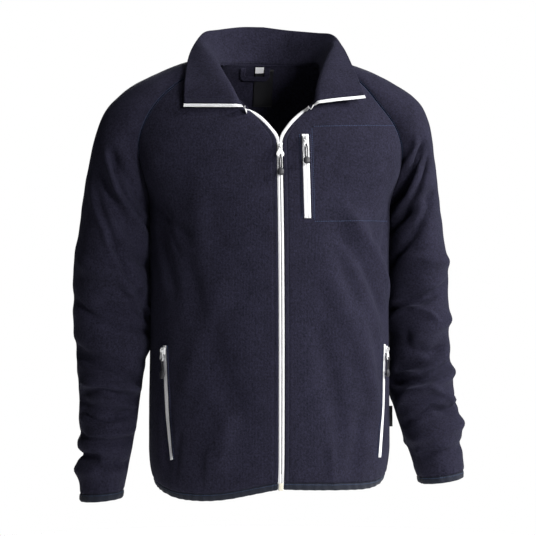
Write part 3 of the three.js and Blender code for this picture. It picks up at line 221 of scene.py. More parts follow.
# Collar sections from the front end to the middle back: the roll, then the free edge
COLLAR_COLUMNS = "at rx ry rz ex ey ez"
COLLAR_RIGHT = table(
    COLLAR_COLUMNS,
    (0.00, 70, -108, -79, 152, -92, -78),
    (0.16, 77, -97, -53, 151, -82, -57),
    (0.32, 89, -70, -25, 148, -64, -34),
    (0.46, 102, -40, 5, 140, -30, 0),
    (0.60, 111, -8, 26, 127, 0, 29),
    (0.74, 100, 24, 38, 108, 22, 53),
    (0.86, 73, 54, 48, 80, 55, 62),
    (0.94, 36, 72, 54, 39, 76, 70),
    (1.00, 0, 77, 54, 0, 81, 71),
)
COLLAR_LEFT = table(
    COLLAR_COLUMNS,
    (0.00, 66, -108, -72, 145, -94, -61),
    (0.16, 68, -97, -50, 141, -84, -45),
    (0.32, 80, -70, -20, 137, -64, -25),
    (0.46, 95, -38, 8, 131, -30, 5),
    (0.60, 108, -6, 30, 124, 0, 31),
    (0.74, 102, 26, 38, 112, 26, 53),
    (0.86, 76, 54, 44, 86, 56, 60),
    (0.94, 38, 72, 50, 41, 76, 66),
    (1.00, 0, 77, 54, 0, 81, 71),
)
COLLAR_LIFT = table(
    "at lift",
    (0.0, 1.8), (0.3, 2.1), (0.5, 3.3), (0.62, 3.4), (0.7, 2.6), (0.8, 1.2), (0.9, 0.6), (1.0, 0.5),
)
COLLAR_FRONT_LIFT, COLLAR_FRONT_REACH = 2.9, 0.3
COLLAR_GIRTH = 520.0
COLLAR_HEIGHT = 78.0
COLLAR_MIDDLE = (0, 0, -40.0)
# The collar reaches this far under the panels, so that no light shows at the neck seam
SEAM_TUCK = 3.2

# Folds: ridges (height above 0) and troughs (below 0) along straight runs.
# On the fronts and back, across is the girth from the middle line and down is below the origin.
FOLD_COLUMNS = "across0 down0 across1 down1 width height"
FOLDS_FRONT_RIGHT = table(
    FOLD_COLUMNS,
    (120, 190, 100, 420, 26, 3),
    (215, 255, 160, 400, 24, -4),
    (60, 560, 90, 690, 24, 4),
    (190, 560, 180, 690, 22, -4),
)
FOLDS_FRONT_LEFT = table(
    FOLD_COLUMNS,
    (60, 265, 205, 440, 20, -5),
    (75, 235, 235, 400, 20, 5),
    (50, 330, 150, 560, 26, 4),
    (205, 255, 140, 300, 20, -4),
    (120, 570, 100, 690, 22, -4),
)
FOLDS_BACK = table(
    FOLD_COLUMNS,
    (-180, 270, -60, 360, 24, -5),
    (185, 280, 70, 380, 24, -5),
    (-120, 440, 100, 480, 30, -4),
    (-80, 560, -95, 690, 24, 4),
    (90, 550, 110, 690, 24, 4),
)
# On the sleeves, turn is in degrees from the outer side, below 0 towards the front
SLEEVE_FOLD_COLUMNS = "turn0 down0 turn1 down1 width height"
FOLDS_SLEEVE_RIGHT = table(
    SLEEVE_FOLD_COLUMNS,
    (-60, 150, -165, 260, 15, -8),
    (-35, 175, -150, 330, 17, -8),
    (-80, 300, -170, 345, 15, -7),
    (-20, 330, -150, 385, 17, 6),
    (-60, 400, -170, 430, 14, -7),
    (10, 470, -120, 505, 14, -7),
    (-10, 530, -170, 545, 13, 6),
    (0, 560, -150, 590, 12, -7),
    (-30, 620, -170, 610, 12, 5),
    (-10, 650, -140, 665, 12, -5),
    (60, 190, 160, 290, 18, -7),
    (40, 340, 160, 370, 16, -7),
    (50, 450, 170, 470, 15, 6),
    (30, 560, 150, 585, 13, -6),
    (40, 640, 165, 655, 12, 5),
)
FOLDS_SLEEVE_LEFT = table(
    SLEEVE_FOLD_COLUMNS,
    (-60, 145, -160, 240, 15, -8),
    (-45, 215, -160, 270, 15, -7),
    (-15, 335, -150, 325, 17, 6),
    (-20, 372, -150, 400, 17, -8),
    (-10, 420, -130, 470, 17, 7),
    (-40, 470, -170, 530, 16, -9),
    (0, 505, -150, 570, 14, 7),
    (10, 560, -130, 605, 13, -7),
    (0, 600, -160, 635, 12, 6),
    (10, 640, -150, 655, 12, -6),
    (60, 180, 160, 280, 18, -7),
    (40, 350, 160, 360, 16, -7),
    (50, 440, 170, 465, 15, 6),
    (30, 560, 150, 580, 13, -6),
    (40, 630, 165, 640, 12, 5),
)
# Finer creases, which only the cloth here has
CREASES_FRONT_RIGHT = table(
    FOLD_COLUMNS,
    (150, 300, 40, 620, 30, -4),
    (60, 330, 150, 560, 26, 3),
    (225, 240, 120, 300, 14, -3),
    (200, 250, 150, 330, 12, -2),
    (150, 600, 165, 690, 10, -2),
    (95, 630, 100, 700, 9, 2),
)
CREASES_FRONT_LEFT = table(
    FOLD_COLUMNS,
    (40, 420, 90, 660, 26, -4),
    (110, 400, 165, 600, 24, 4),
    (60, 285, 110, 400, 18, -2),
    (90, 300, 190, 500, 22, 2),
    (220, 250, 175, 330, 12, -3),
    (60, 620, 70, 700, 9, 2),
)
CREASES_BACK = table(
    FOLD_COLUMNS,
    (-200, 260, -120, 320, 12, -3),
    (205, 260, 130, 330, 12, -3),
    (-60, 470, 90, 500, 14, -2),
    (-140, 600, -150, 690, 10, 2),
    (150, 600, 160, 690, 10, -2),
)
# Creases of the sleeves follow bent lines: height, width, then turn and down of each point
CREASES_SLEEVE_RIGHT = (
    (-6, 9, (-60, 145), (-102, 225), (-149, 266), (-176, 286)),
    (4, 7, (-48, 142), (-84, 217), (-120, 257), (-150, 285)),
    (-5, 9, (-30, 190), (-80, 285), (-109, 352), (-138, 398), (-170, 430)),
    (4, 7, (-20, 195), (-73, 283), (-102, 351), (-127, 401), (-160, 440)),
    (4, 7, (-90, 352), (-105, 370), (-127, 394), (-156, 410), (-176, 420)),
    (-5, 9, (-10, 390), (-62, 423), (-102, 436), (-152, 449), (-176, 455)),
    (-6, 9, (0, 485), (-62, 499), (-109, 514), (-170, 540)),
    (-6, 8, (5, 552), (-15, 551), (-76, 543), (-149, 562), (-176, 570)),
    (-6, 9, (5, 585), (-29, 580), (-65, 592), (-138, 583), (-176, 580)),
    (-6, 8, (25, 620), (-10, 618), (-90, 628), (-170, 626)),
    (-7, 9, (60, 655), (-10, 650), (-80, 652)),
    (5, 14, (70, 680), (0, 676), (-80, 678)),
    (-5, 8, (-176, 668), (-110, 662)),
    (-6, 9, (60, 165), (100, 235), (165, 280)),
    (4, 7, (48, 185), (92, 255), (150, 300)),
    (-5, 9, (30, 300), (100, 345), (168, 372)),
    (3, 8, (40, 420), (120, 440)),
    (-5, 8, (20, 500), (90, 515), (170, 530)),
    (-5, 8, (30, 560), (150, 575)),
    (4, 7, (40, 610), (140, 612)),
)
CREASES_SLEEVE_LEFT = (
    (-6, 8, (-60, 120), (-80, 146), (-131, 202), (-159, 231), (-176, 250)),
    (4, 7, (-78, 118), (-96, 147), (-138, 192), (-157, 217), (-174, 235)),
    (-7, 9, (-50, 145), (-68, 172), (-105, 227), (-160, 277), (-176, 290)),
    (5, 7, (-65, 150), (-83, 176), (-118, 227), (-160, 261), (-176, 272)),
    (-6, 10, (-45, 205), (-69, 238), (-116, 294), (-167, 342), (-178, 352)),
    (4, 8, (-40, 357), (-62, 368), (-120, 389), (-174, 412)),
    (-6, 9, (-40, 378), (-65, 386), (-116, 403), (-174, 422)),
    (4, 8, (-170, 440), (-156, 425), (-123, 407), (-87, 416), (-60, 435)),
    (-3, 11, (-132, 438), (-120, 478), (-80, 487), (-40, 480)),
    (-7, 9, (-20, 500), (-58, 511), (-105, 531), (-160, 538), (-178, 540)),
    (4, 8, (-20, 488), (-47, 498), (-102, 521), (-167, 524)),
    (5, 8, (-15, 580), (-40, 564), (-87, 542), (-123, 549), (-152, 572), (-165, 590)),
    (-5, 8, (0, 590), (-36, 586), (-91, 578), (-134, 598), (-170, 610)),
    (3, 6, (-60, 635), (-160, 655)),
    (-6, 9, (55, 150), (98, 215), (165, 262)),
    (4, 7, (44, 172), (90, 240), (150, 282)),
    (-5, 9, (40, 310), (100, 335), (168, 350)),
    (3, 8, (60, 400), (150, 425)),
    (-5, 8, (20, 490), (90, 505), (170, 520)),
    (4, 8, (30, 545), (150, 560)),
    (-4, 7, (40, 605), (140, 612)),
)
FRONT_FOLDS = {
    -1: (FOLDS_FRONT_RIGHT, CREASES_FRONT_RIGHT),
    1: (FOLDS_FRONT_LEFT, CREASES_FRONT_LEFT),
}
SLEEVE_FOLDS = {
    -1: (FOLDS_SLEEVE_RIGHT, CREASES_SLEEVE_RIGHT),
    1: (FOLDS_SLEEVE_LEFT, CREASES_SLEEVE_LEFT),
}
# A fold fades out towards a seam over this distance
FOLD_FADE = 14.0
# It also fades over a share of its length at each end, where a little of it is left
FOLD_TAPER, FOLD_END = 0.3, 0.2
CREASE_TAPER_FIRST, CREASE_TAPER_LAST, CREASE_END = 0.25, 0.15, 0.1
# The cloth's folds are deeper than those of the solids by this share
FOLD_GAIN = 1.45
# Crumples of the sleeves: stretched round the arm, and stronger towards the cuff
CRUMPLE_HEIGHT = 4.0
CRUMPLE_SIZE = 26.0
CRUMPLE_STRETCH = (0.35, 0.35, 1.0)
CRUMPLE_LEAST = 0.25
CRUMPLE_FROM, CRUMPLE_OVER = 280.0, 250.0


# Curves and grids of points
def mix(a, b, k):
    """Blend of two values or arrays."""
    return a + (b - a) * k


def smooth(k):
    """Soft step from 0 to 1."""
    k = np.clip(k, 0, 1)
    return k * k * (3 - 2 * k)


def unit(vectors):
    """Vectors of length one."""
    lengths = np.linalg.norm(vectors, axis=-1, keepdims=True)
    return vectors / np.maximum(lengths, LEAST_LENGTH)


def bell(distance, place, width):
    """A soft peak of height 1 at a place."""
    return np.exp(-(((distance - place) / width) ** 2))


def cubic(k, span, start, end, slope0, slope1):
    """A smooth step from a start to an end that leaves and arrives with given slopes."""
    low = (2 * k**3 - 3 * k**2 + 1) * start + (k**3 - 2 * k**2 + k) * span * slope0
    return low + (3 * k**2 - 2 * k**3) * end + (k**3 - k**2) * span * slope1


def read(rows, key, at):
    """A smooth curve through one column of a table, by cubic pieces."""
    places, values = rows["at"], rows[key]
    count = np.arange(len(places))
    before, after = np.maximum(count - 1, 0), np.minimum(count + 1, count[-1])
    slopes = (values[after] - values[before]) / (places[after] - places[before])
    at = np.asarray(at, float)
    i = np.clip(np.searchsorted(places, at, side="left") - 1, 0, len(places) - 2)
    span = places[i + 1] - places[i]
    k = np.clip((at - places[i]) / span, 0, 1)
    return cubic(k, span, values[i], values[i + 1], slopes[i], slopes[i + 1])


def points_at(rows, at, names="xyz"):
    """Points from three columns of a table."""
    return np.stack([read(rows, name, at) for name in names], -1)


def grid_normals(grid):
    """Normals of a grid of points, from the steps to the neighbours."""
    along = np.gradient(grid, axis=1)
    down = np.gradient(grid, axis=0)
    return unit(np.cross(along, down))


def outward_normals(grid, middle):
    """Normals of a grid that point away from its middle points."""
    normals = grid_normals(grid)
    return normals if np.sum(normals * (grid - middle)) > 0 else -normals


def distances(grid, axis):
    """Distance of each point from the first row or column, along the grid."""
    steps = np.linalg.norm(np.diff(grid, axis=axis), axis=-1)
    pad = [(0, 0), (0, 0)]
    pad[axis] = (1, 0)
    return np.cumsum(np.pad(steps, pad), axis=axis)


def fold_profile(distance, width):
    """Cross section of a fold, from its middle line out."""
    return FOLD_GAIN * np.exp(-2 * (distance / width) ** 2)


def fold_height(folds, across, down):
    """Height of all folds of a table at places on a panel."""
    height = np.zeros(np.broadcast(across, down).shape)
    columns = [folds[name] for name in FOLD_COLUMNS.split()]
    for across0, down0, across1, down1, width, rise in zip(*columns):
        run_across, run_down = across1 - across0, down1 - down0
        length = math.hypot(run_across, run_down)
        along = ((across - across0) * run_across + (down - down0) * run_down) / length**2
        aside = ((across - across0) * run_down - (down - down0) * run_across) / length
        taper = smooth(along / FOLD_TAPER + FOLD_END) * smooth((1 - along) / FOLD_TAPER + FOLD_END)
        height += rise * taper * fold_profile(aside, width)
    return height


def bent_height(creases, across, down, reach):
    """Height of creases along bent lines; the reach is the girth of one degree."""
    height = np.zeros(np.broadcast(across, down).shape)
    for rise, width, *points in creases:
        route = np.array(points, float) * (reach, 1)
        steps = np.diff(route, axis=0)
        lengths = np.linalg.norm(steps, axis=1)
        befores = np.concatenate([[0], np.cumsum(lengths)])
        nearest, place = np.full(height.shape, np.inf), np.zeros(height.shape)
        for point, step, length, before in zip(route, steps, lengths, befores):
            k = np.clip(((across - point[0]) * step[0] + (down - point[1]) * step[1]) / length**2, 0, 1)
            far = np.hypot(across - point[0] - k * step[0], down - point[1] - k * step[1])
            place = np.where(far < nearest, before + k * length, place)
            nearest = np.minimum(far, nearest)
        share = place / befores[-1]
        taper = smooth(share / CREASE_TAPER_FIRST + CREASE_END)
        taper = taper * smooth((1 - share) / CREASE_TAPER_LAST + CREASE_END)
        height += rise * taper * fold_profile(nearest, width)
    return height


def uneven(grid, size, seed):
    """Soft random heights from -1 to 1 with lumps of a size, the same in each run."""
    flat = grid.reshape(-1, 3) / size + seed
    values = [noise.noise(Vector(point)) for point in flat]
    return np.array(values).reshape(grid.shape[:2])


def edge_fade(distance):
    """Share of a fold that is kept near a seam."""
    return smooth(distance / FOLD_FADE)


def rolled_edge(distance, depth, reach):
    """Height of cloth that rolls down into a seam."""
    return -depth * (1 - np.clip(distance / reach, 0, 1)) ** 2


def sewn_line(distance, place, depth, width):
    """Height of cloth that a row of stitches holds down."""
    return -depth * bell(distance, place, width)


# Surfaces of the garment
def neck_points(side, at):
    """Points on the neck seam of one side."""
    return points_at(NECK_SEAM, at) * np.array([side, 1, 1])


def sleeve_frames(side):
    """Centre, outward axis and depth axis of each ring of a sleeve, as columns of a table."""
    raglan, tube = (RAGLAN_RIGHT, TUBE_RIGHT) if side < 0 else (RAGLAN_LEFT, TUBE_LEFT)
    mirror = np.array([side, 1, 1])
    wrap = np.radians(raglan["wrap"])[:, None]
    front, ridge, back = (
        np.stack([raglan[name + axis] for axis in "xyz"], -1) * mirror for name in ("f", "r", "b")
    )
    centre = (front + back - 2 * np.cos(wrap) * ridge) * 0.5 / (1 - np.cos(wrap))
    deep = (back - front) * 0.5 / np.sin(wrap)
    out = ridge - centre
    armpit_ridge = np.array(RIDGE_AT_ARMPIT[side]) * mirror
    armpit_centre = (armpit_ridge + np.array(ARMPIT) * mirror) / 2
    tilt = np.radians(tube["tilt"])
    tube_out = np.stack([side * np.cos(tilt), 0 * tilt, np.sin(tilt)], -1) * tube["wide"][:, None]
    tube_deep = np.stack([0 * tilt, tube["deep"], 0 * tilt], -1)
    tube_centre = np.stack([side * tube["x"], tube["y"], tube["z"]], -1)
    centres = np.vstack([centre, armpit_centre[None], tube_centre])
    outs = np.vstack([out, (armpit_ridge - armpit_centre)[None], tube_out])
    deeps = np.vstack([deep, [[0, UPPER_ARM_DEPTH, 0]], tube_deep])
    rows = {"at": np.concatenate([raglan["at"], [1.0], 1 + tube["at"]])}
    rows["wrap"] = np.concatenate([wrap[:, 0], np.full(1 + len(tilt), math.pi)])
    for name, values in (("centre", centres), ("out", outs), ("deep", deeps)):
        for i, axis in enumerate("xyz"):
            rows[name + axis] = values[:, i]
    return rows


def sleeve_points(frames, at, turn):
    """Points on a sleeve: at 0 to 1 down the raglan and to 2 at the cuff, turn -1 to 1 round it."""
    angle = turn * np.minimum(math.pi, read(frames, "wrap", at))
    centre, out, deep = (
        points_at(frames, at, [name + axis for axis in "xyz"]) for name in ("centre", "out", "deep")
    )
    return centre + out * np.cos(angle)[..., None] + deep * np.sin(angle)[..., None]


def settle_on_neck(points, at, on_neck, on_edge):
    """Moves the top of a panel as its edge moves onto the neck seam."""
    return points + (on_neck - on_edge) * smooth(1 - at / NECK_SHARE)[..., None]


def row_shape(k, roundness):
    """Shares of the way along a torso row: nearly straight at the neck, an oval at the armpit."""
    oval = 2 / TORSO_SQUARENESS
    sine = np.sin(k * math.pi / 2) ** oval
    cosine = 1 - np.clip(np.cos(k * math.pi / 2), 0, 1) ** oval
    return mix(k, sine, roundness), mix(k * k, cosine, roundness)


def torso_points(side, girth, down):
    """Points of the torso below the armpits: girth 0 at the zip, 1 at the side, 2 at the back."""
    hem = HEM_RIGHT if side < 0 else HEM_LEFT
    is_front = girth <= 1
    k = np.where(is_front, girth, 2 - girth)
    depth = np.where(is_front, -read(TORSO, "front", down), read(TORSO, "back", down))
    across, deep = row_shape(k, 1.0)
    side_x = mix(side * ARMPIT[0], side * read(TORSO, "side", down), smooth(down / ARMPIT_SHARE))
    z = mix(mix(ARMPIT_LEVEL, ARMPIT[2], k), read(hem, "z", girth), down)
    return np.stack([side_x * across, depth * (1 - deep), z + 0 * across], -1)


def chest_points(side, frames, girth, at):
    """Points of a front above the armpit, from the zip (0) to the raglan seam (1)."""
    zip_line = points_at(ZIP_OPENING, at)
    seam = sleeve_points(frames, at, -1.0 + 0 * at)
    across, deep = row_shape(girth, smooth(at) ** ROUNDING)
    x = mix(side * np.maximum(0, zip_line[..., 0]), seam[..., 0], across)
    y = mix(zip_line[..., 1], seam[..., 1], deep)
    z = mix(zip_line[..., 2], seam[..., 2], mix(girth, girth**ROUNDING, at))
    return np.stack([x, y, z], -1)


def back_points(frames, girth, at):
    """Points of one half of the back above the armpit, girth 0 in the middle and 1 at the seam."""
    seam = sleeve_points(frames, at, 1.0 + 0 * at)
    across, deep = row_shape(girth, smooth(at) ** ROUNDING)
    y = mix(read(BACK_LINE, "y", at), seam[..., 1], deep)
    z = mix(read(BACK_LINE, "z", at), seam[..., 2], girth * girth)
    return np.stack([seam[..., 0] * across, y, z], -1)


def raglan_ats():
    """Rows of the raglan part, a cloth step apart."""
    return np.linspace(0, 1, int(RAGLAN_LENGTH / CLOTH_STEP))


def rows_down(length, binding_share):
    """Rows below the armpit, a cloth step apart, and then the rows of the binding."""
    cloth_rows = np.linspace(0, 1 - binding_share, int(length / CLOTH_STEP))[1:]
    return np.concatenate([cloth_rows, np.linspace(1 - binding_share, 1, BINDING_ROWS + 1)[1:]])


def fine_near_ends(length, first=True):
    """Shares from 0 to 1, a cloth step apart and finer where sewn lines run near the ends."""
    near = np.array(NEAR_EDGE) / length
    start = near if first else np.array([0.0])
    end = 1 - near[::-1]
    count = int((end[0] - start[-1]) * length / CLOTH_STEP)
    return np.concatenate([start, np.linspace(start[-1], end[0], count + 1)[1:-1], end])


class Cloth:
    """A sheet of cloth: a grid of points with normals that point out."""

    def __init__(self, grid, middle, normals=None):
        self.grid = grid
        self.middle = middle
        self.normals = outward_normals(grid, middle) if normals is None else normals

    def lift(self, height):
        """Moves the sheet along its normals."""
        self.grid = self.grid + self.normals * height[..., None]
        self.normals = outward_normals(self.grid, self.middle)

    def cut(self, rows):
        """Some rows of the sheet as a sheet of its own."""
        return Cloth(self.grid[rows], None, self.normals[rows])

    def raised(self, height):
        """The points of the sheet, moved along the normals by a height or heights."""
        return self.grid + self.normals * np.broadcast_to(height, self.grid.shape[:2])[..., None]

    def edge(self, distance, axis=1, from_last=False):
        """Points and normals along one edge, a distance in from it."""
        grid, normals = self.grid, self.normals
        if axis == 0:
            grid, normals = grid.swapaxes(0, 1), normals.swapaxes(0, 1)
        if from_last:
            grid, normals = grid[:, ::-1], normals[:, ::-1]
        count = np.arange(grid.shape[1])
        place = np.array([np.interp(distance, far, count) for far in distances(grid, 1)])
        return blend_lanes(grid, place), unit(blend_lanes(normals, place))

    def at(self, xs, zs, columns=slice(None)):
        """Points and normals of the sheet where x and z are given."""
        grid, normals = self.grid[:, columns], self.normals[:, columns]
        count, lanes = np.arange(grid.shape[0]), np.arange(grid.shape[1])
        rows = np.array([np.interp(-zs, -grid[:, lane, 2], count) for lane in lanes])
        across = np.array([np.interp(rows[lane], count, grid[:, lane, 0]) for lane in lanes])
        rising = np.sign(across[-1].mean() - across[0].mean())
        columns_at = [np.interp(rising * x, rising * across[:, i], lanes) for i, x in enumerate(xs)]
        rows_at = [np.interp(place, lanes, rows[:, i]) for i, place in enumerate(columns_at)]
        r = np.minimum(np.array(rows_at, int), grid.shape[0] - 2)
        c = np.minimum(np.array(columns_at, int), grid.shape[1] - 2)
        down, along = (np.array(rows_at) - r)[:, None], (np.array(columns_at) - c)[:, None]

        def blend(values):
            upper = mix(values[r, c], values[r, c + 1], along)
            return mix(upper, mix(values[r + 1, c], values[r + 1, c + 1], along), down)

        return blend(grid), unit(blend(normals))


def blend_lanes(values, place):
    """One value of each lane of a grid, at a fractional place."""
    low = np.minimum(place.astype(int), values.shape[1] - 2)
    lanes = np.arange(len(values))
    return mix(values[lanes, low], values[lanes, low + 1], (place - low)[:, None])


def middle_line(x, grid, highest):
    """Points inside a panel, level with its own points up to a height."""
    z = np.minimum(grid[..., 2], highest)
    return np.stack([np.full_like(z, x), np.zeros_like(z), z], -1)


def make_sleeve(side):
    """One sleeve, from the neck seam to the edge of the cuff."""
    frames = sleeve_frames(side)
    folds, creases = SLEEVE_FOLDS[side]
    turns = (fine_near_ends(ARM_GIRTH) * 2 - 1)[None, :]
    ats = np.concatenate([raglan_ats(), 1 + rows_down(ARM_LENGTH, CUFF_SHARE)])[:, None]
    grid = sleeve_points(frames, ats + 0 * turns, turns + 0 * ats)
    on_neck = neck_points(side, mix(NECK_AT_FRONT_SEAM, NECK_AT_BACK_SEAM, (turns + 1) / 2))
    grid = settle_on_neck(grid, ats + 0 * turns, on_neck, sleeve_points(frames, 0 * turns, turns))
    cloth = Cloth(grid, middle_line(side * SLEEVE_MIDDLE[0], grid, SLEEVE_MIDDLE[1]))
    reach = math.radians(ARM_RADIUS)
    across = turns * np.minimum(HALF_TURN, np.degrees(read(frames, "wrap", ats))) * reach
    from_cuff = (2 - ats) * ARM_LENGTH - BINDING_DEPTH
    fades = edge_fade(from_cuff) * edge_fade((1 - np.abs(turns)) * HALF_TURN) * smooth(ats / FOLDS_START)
    in_mm = dict(folds, across0=folds["turn0"] * reach, across1=folds["turn1"] * reach)
    cloth.lift(fold_height(in_mm, across, -grid[..., 2]) * fades)
    cloth.lift(bent_height(creases, across, -grid[..., 2], reach) * fades)
    return cloth


def rest_on_torso(cloth, front, side):
    """Draws the inner side of a sleeve up to the torso, down to where the two part."""
    grid = cloth.grid
    turns = (fine_near_ends(ARM_GIRTH) * 2 - 1)[None, :]
    top, parting = SLEEVE_RESTS[side]
    torso = np.interp(-grid[..., 2], -front.grid[:, -1, 2], (side * front.grid[..., 0]).max(axis=1))
    gap = side * grid[..., 0] - torso - SLEEVE_CLEAR
    nearest = gap.min(axis=1, keepdims=True)
    z = grid[..., 2]
    height = smooth((top - z) / SLEEVE_RESTS_OVER) * smooth((z - parting) / SLEEVE_RESTS_OVER)
    inner = smooth((np.abs(turns) - INNER_FROM) / INNER_OVER)
    grid[..., 0] -= side * nearest * inner * height
    cloth.normals = outward_normals(grid, cloth.middle)


def make_front(side):
    """One front, from the neck seam to the edge of the hem."""
    frames = sleeve_frames(side)
    folds, creases = FRONT_FOLDS[side]
    shares = fine_near_ends(FRONT_GIRTH)[None, :]
    ats, downs = raglan_ats()[:, None], rows_down(TORSO_LENGTH, HEM_SHARE)[:, None]

    def chest(girth, at):
        on_neck = neck_points(side, girth * NECK_AT_FRONT_SEAM)
        on_edge = chest_points(side, frames, girth, 0 * at)
        return settle_on_neck(chest_points(side, frames, girth, at), at, on_neck, on_edge)

    def beside_zip(points_of, rows):
        first = np.linalg.norm(points_of(ZIP_PROBE + 0 * rows, rows) - points_of(0 * rows, rows), axis=-1)
        start = ZIP_HALF / (first / ZIP_PROBE)
        return points_of(start + (1 - start) * shares, rows + 0 * shares)

    upper = beside_zip(chest, ats)
    lower = beside_zip(lambda girth, down: torso_points(side, girth, down), downs)
    grid = np.vstack([upper, lower])
    cloth = Cloth(grid, middle_line(side * FRONT_MIDDLE[0], grid, FRONT_MIDDLE[1]))
    across = shares * FRONT_GIRTH
    fades = edge_fade(across) * edge_fade(FRONT_GIRTH - across)
    for rows in (folds, creases):
        cloth.lift(fold_height(rows, across, -grid[..., 2]) * fades)
    return cloth


def make_back():
    """The back in one piece, from the neck seam to the edge of the hem."""
    half = fine_near_ends(FRONT_GIRTH, first=False)
    girths = np.concatenate([-half[::-1], half[1:]])[None, :]
    ats, downs = raglan_ats()[:, None], rows_down(TORSO_LENGTH, HEM_SHARE)[:, None]
    halves = []
    for side in (-1, 1):
        frames = sleeve_frames(side)
        girth = np.abs(girths[:, girths[0] <= 0] if side < 0 else girths[:, girths[0] > 0])
        on_neck = neck_points(side, mix(1.0, NECK_AT_BACK_SEAM, girth))
        on_edge = back_points(frames, girth + 0 * ats, 0 * ats + 0 * girth)
        upper = back_points(frames, girth + 0 * ats, ats + 0 * girth)
        upper = settle_on_neck(upper, ats + 0 * girth, on_neck, on_edge)
        lower = torso_points(side, 2 - girth + 0 * downs, downs + 0 * girth)
        halves.append(np.vstack([upper, lower]))
    grid = np.concatenate(halves, axis=1)
    cloth = Cloth(grid, middle_line(BACK_MIDDLE[0], grid, BACK_MIDDLE[1]))
    across = girths * FRONT_GIRTH
    for rows in (FOLDS_BACK, CREASES_BACK):
        cloth.lift(fold_height(rows, across, -grid[..., 2]) * edge_fade(FRONT_GIRTH - np.abs(across)))
    return cloth


# How the cloth lies near its seams

SEAM_ROLL_DEPTH = 1.5
SEAM_ROLL_REACH = 2.6
SEAM_STITCH_AT = 2.6
ZIP_ROLL_DEPTH = 1.6
ZIP_ROLL_REACH = 1.8
ZIP_STITCH_AT = 7.4
ZIP_STITCH_DEPTH, ZIP_STITCH_WIDTH = 0.8, 1.3
NECK_ROLL_DEPTH, NECK_ROLL_REACH = 1.0, 2.0
BINDING_PRESS_DEPTH, BINDING_PRESS_WIDTH = 0.8, 1.5
GATHER_HEIGHT = 0.5
GATHER_LENGTH = 17.0
GATHER_REACH = 26.0
GATHER_WANDER, GATHER_WANDER_SIZE = 4.0, 45.0
# Soft unevenness: height, size of its lumps, and what is added to the seed
CLOTH_WAVES = ((0.9, 70.0, 0.0), (0.35, 22.0, 5.0))
COLLAR_WAVES = ((0.7, 55.0, 31.0), (0.3, 20.0, 37.0))
GATHER_SEED, CRUMPLE_SEED = 9.0, 13.0
# Seed of the unevenness of each panel
SEEDS = {"front_right": 10.0, "front_left": 12.0, "back": 21.0, "sleeve_right": 2.0, "sleeve_left": 4.0}


def waves(grid, sizes, seed=0.0):
    """Soft unevenness of several sizes together."""
    return sum(rise * uneven(grid, size, seed + more) for rise, size, more in sizes)


def crumples(grid, seed):
    """Small folds that run round a sleeve, stronger from the elbow down."""
    lumps = uneven(grid * np.array(CRUMPLE_STRETCH), CRUMPLE_SIZE, seed)
    stronger = smooth((-grid[..., 2] - CRUMPLE_FROM) / CRUMPLE_OVER)
    return CRUMPLE_HEIGHT * lumps * (CRUMPLE_LEAST + (1 - CRUMPLE_LEAST) * stronger)


def relief(cloth, seam_first, seed, crumple):
    """Soft unevenness, crumples, rolled seams, sewn lines and the gathers above a binding."""
    grid = cloth.grid
    from_first = distances(grid, 1)
    from_last = from_first[:, -1:] - from_first
    down = distances(grid, 0)
    from_end = down[-1 - BINDING_ROWS] - down
    calm = edge_fade(from_first) * edge_fade(from_last)
    height = waves(grid, CLOTH_WAVES, seed) * calm
    if crumple:
        height += crumples(grid, seed + CRUMPLE_SEED) * calm
    height += rolled_edge(from_last, SEAM_ROLL_DEPTH, SEAM_ROLL_REACH)
    if seam_first:
        height += rolled_edge(from_first, SEAM_ROLL_DEPTH, SEAM_ROLL_REACH)
    else:
        height += rolled_edge(from_first, ZIP_ROLL_DEPTH, ZIP_ROLL_REACH)
        height += sewn_line(from_first, ZIP_STITCH_AT, ZIP_STITCH_DEPTH, ZIP_STITCH_WIDTH)
    wander = GATHER_WANDER * uneven(grid, GATHER_WANDER_SIZE, seed + GATHER_SEED)
    gathers = np.sin(from_first / GATHER_LENGTH * 2 * math.pi + wander)
    height += GATHER_HEIGHT * gathers * (1 - smooth(from_end / GATHER_REACH)) * calm
    height += sewn_line(from_end, 0.0, BINDING_PRESS_DEPTH, BINDING_PRESS_WIDTH)
    return height + rolled_edge(down, NECK_ROLL_DEPTH, NECK_ROLL_REACH)


def share_normals(*places):
    """Gives the rows that meet at a seam one common normal each."""
    total = unit(sum(cloth.normals[rows, column] for cloth, rows, column in places))
    for cloth, rows, column in places:
        cloth.normals[rows, column] = total


def join_seams(sheets):
    """Makes the walls of neighbouring panels meet along their seams."""
    back = sheets["back"]
    rows = len(raglan_ats())
    above, below = slice(0, rows - 1), slice(rows, None)
    for name, edge in (("right", 0), ("left", -1)):
        front, sleeve = sheets[f"front_{name}"], sheets[f"sleeve_{name}"]
        share_normals((front, above, -1), (sleeve, above, 0))
        share_normals((back, above, edge), (sleeve, above, -1))
        share_normals((front, below, -1), (back, below, edge))
        share_normals((sleeve, below, 0), (sleeve, below, -1))
        for cloth, column in ((front, -1), (back, edge), (sleeve, 0), (sleeve, -1)):
            cloth.normals[rows - 1, column] = ARMPIT_NORMAL


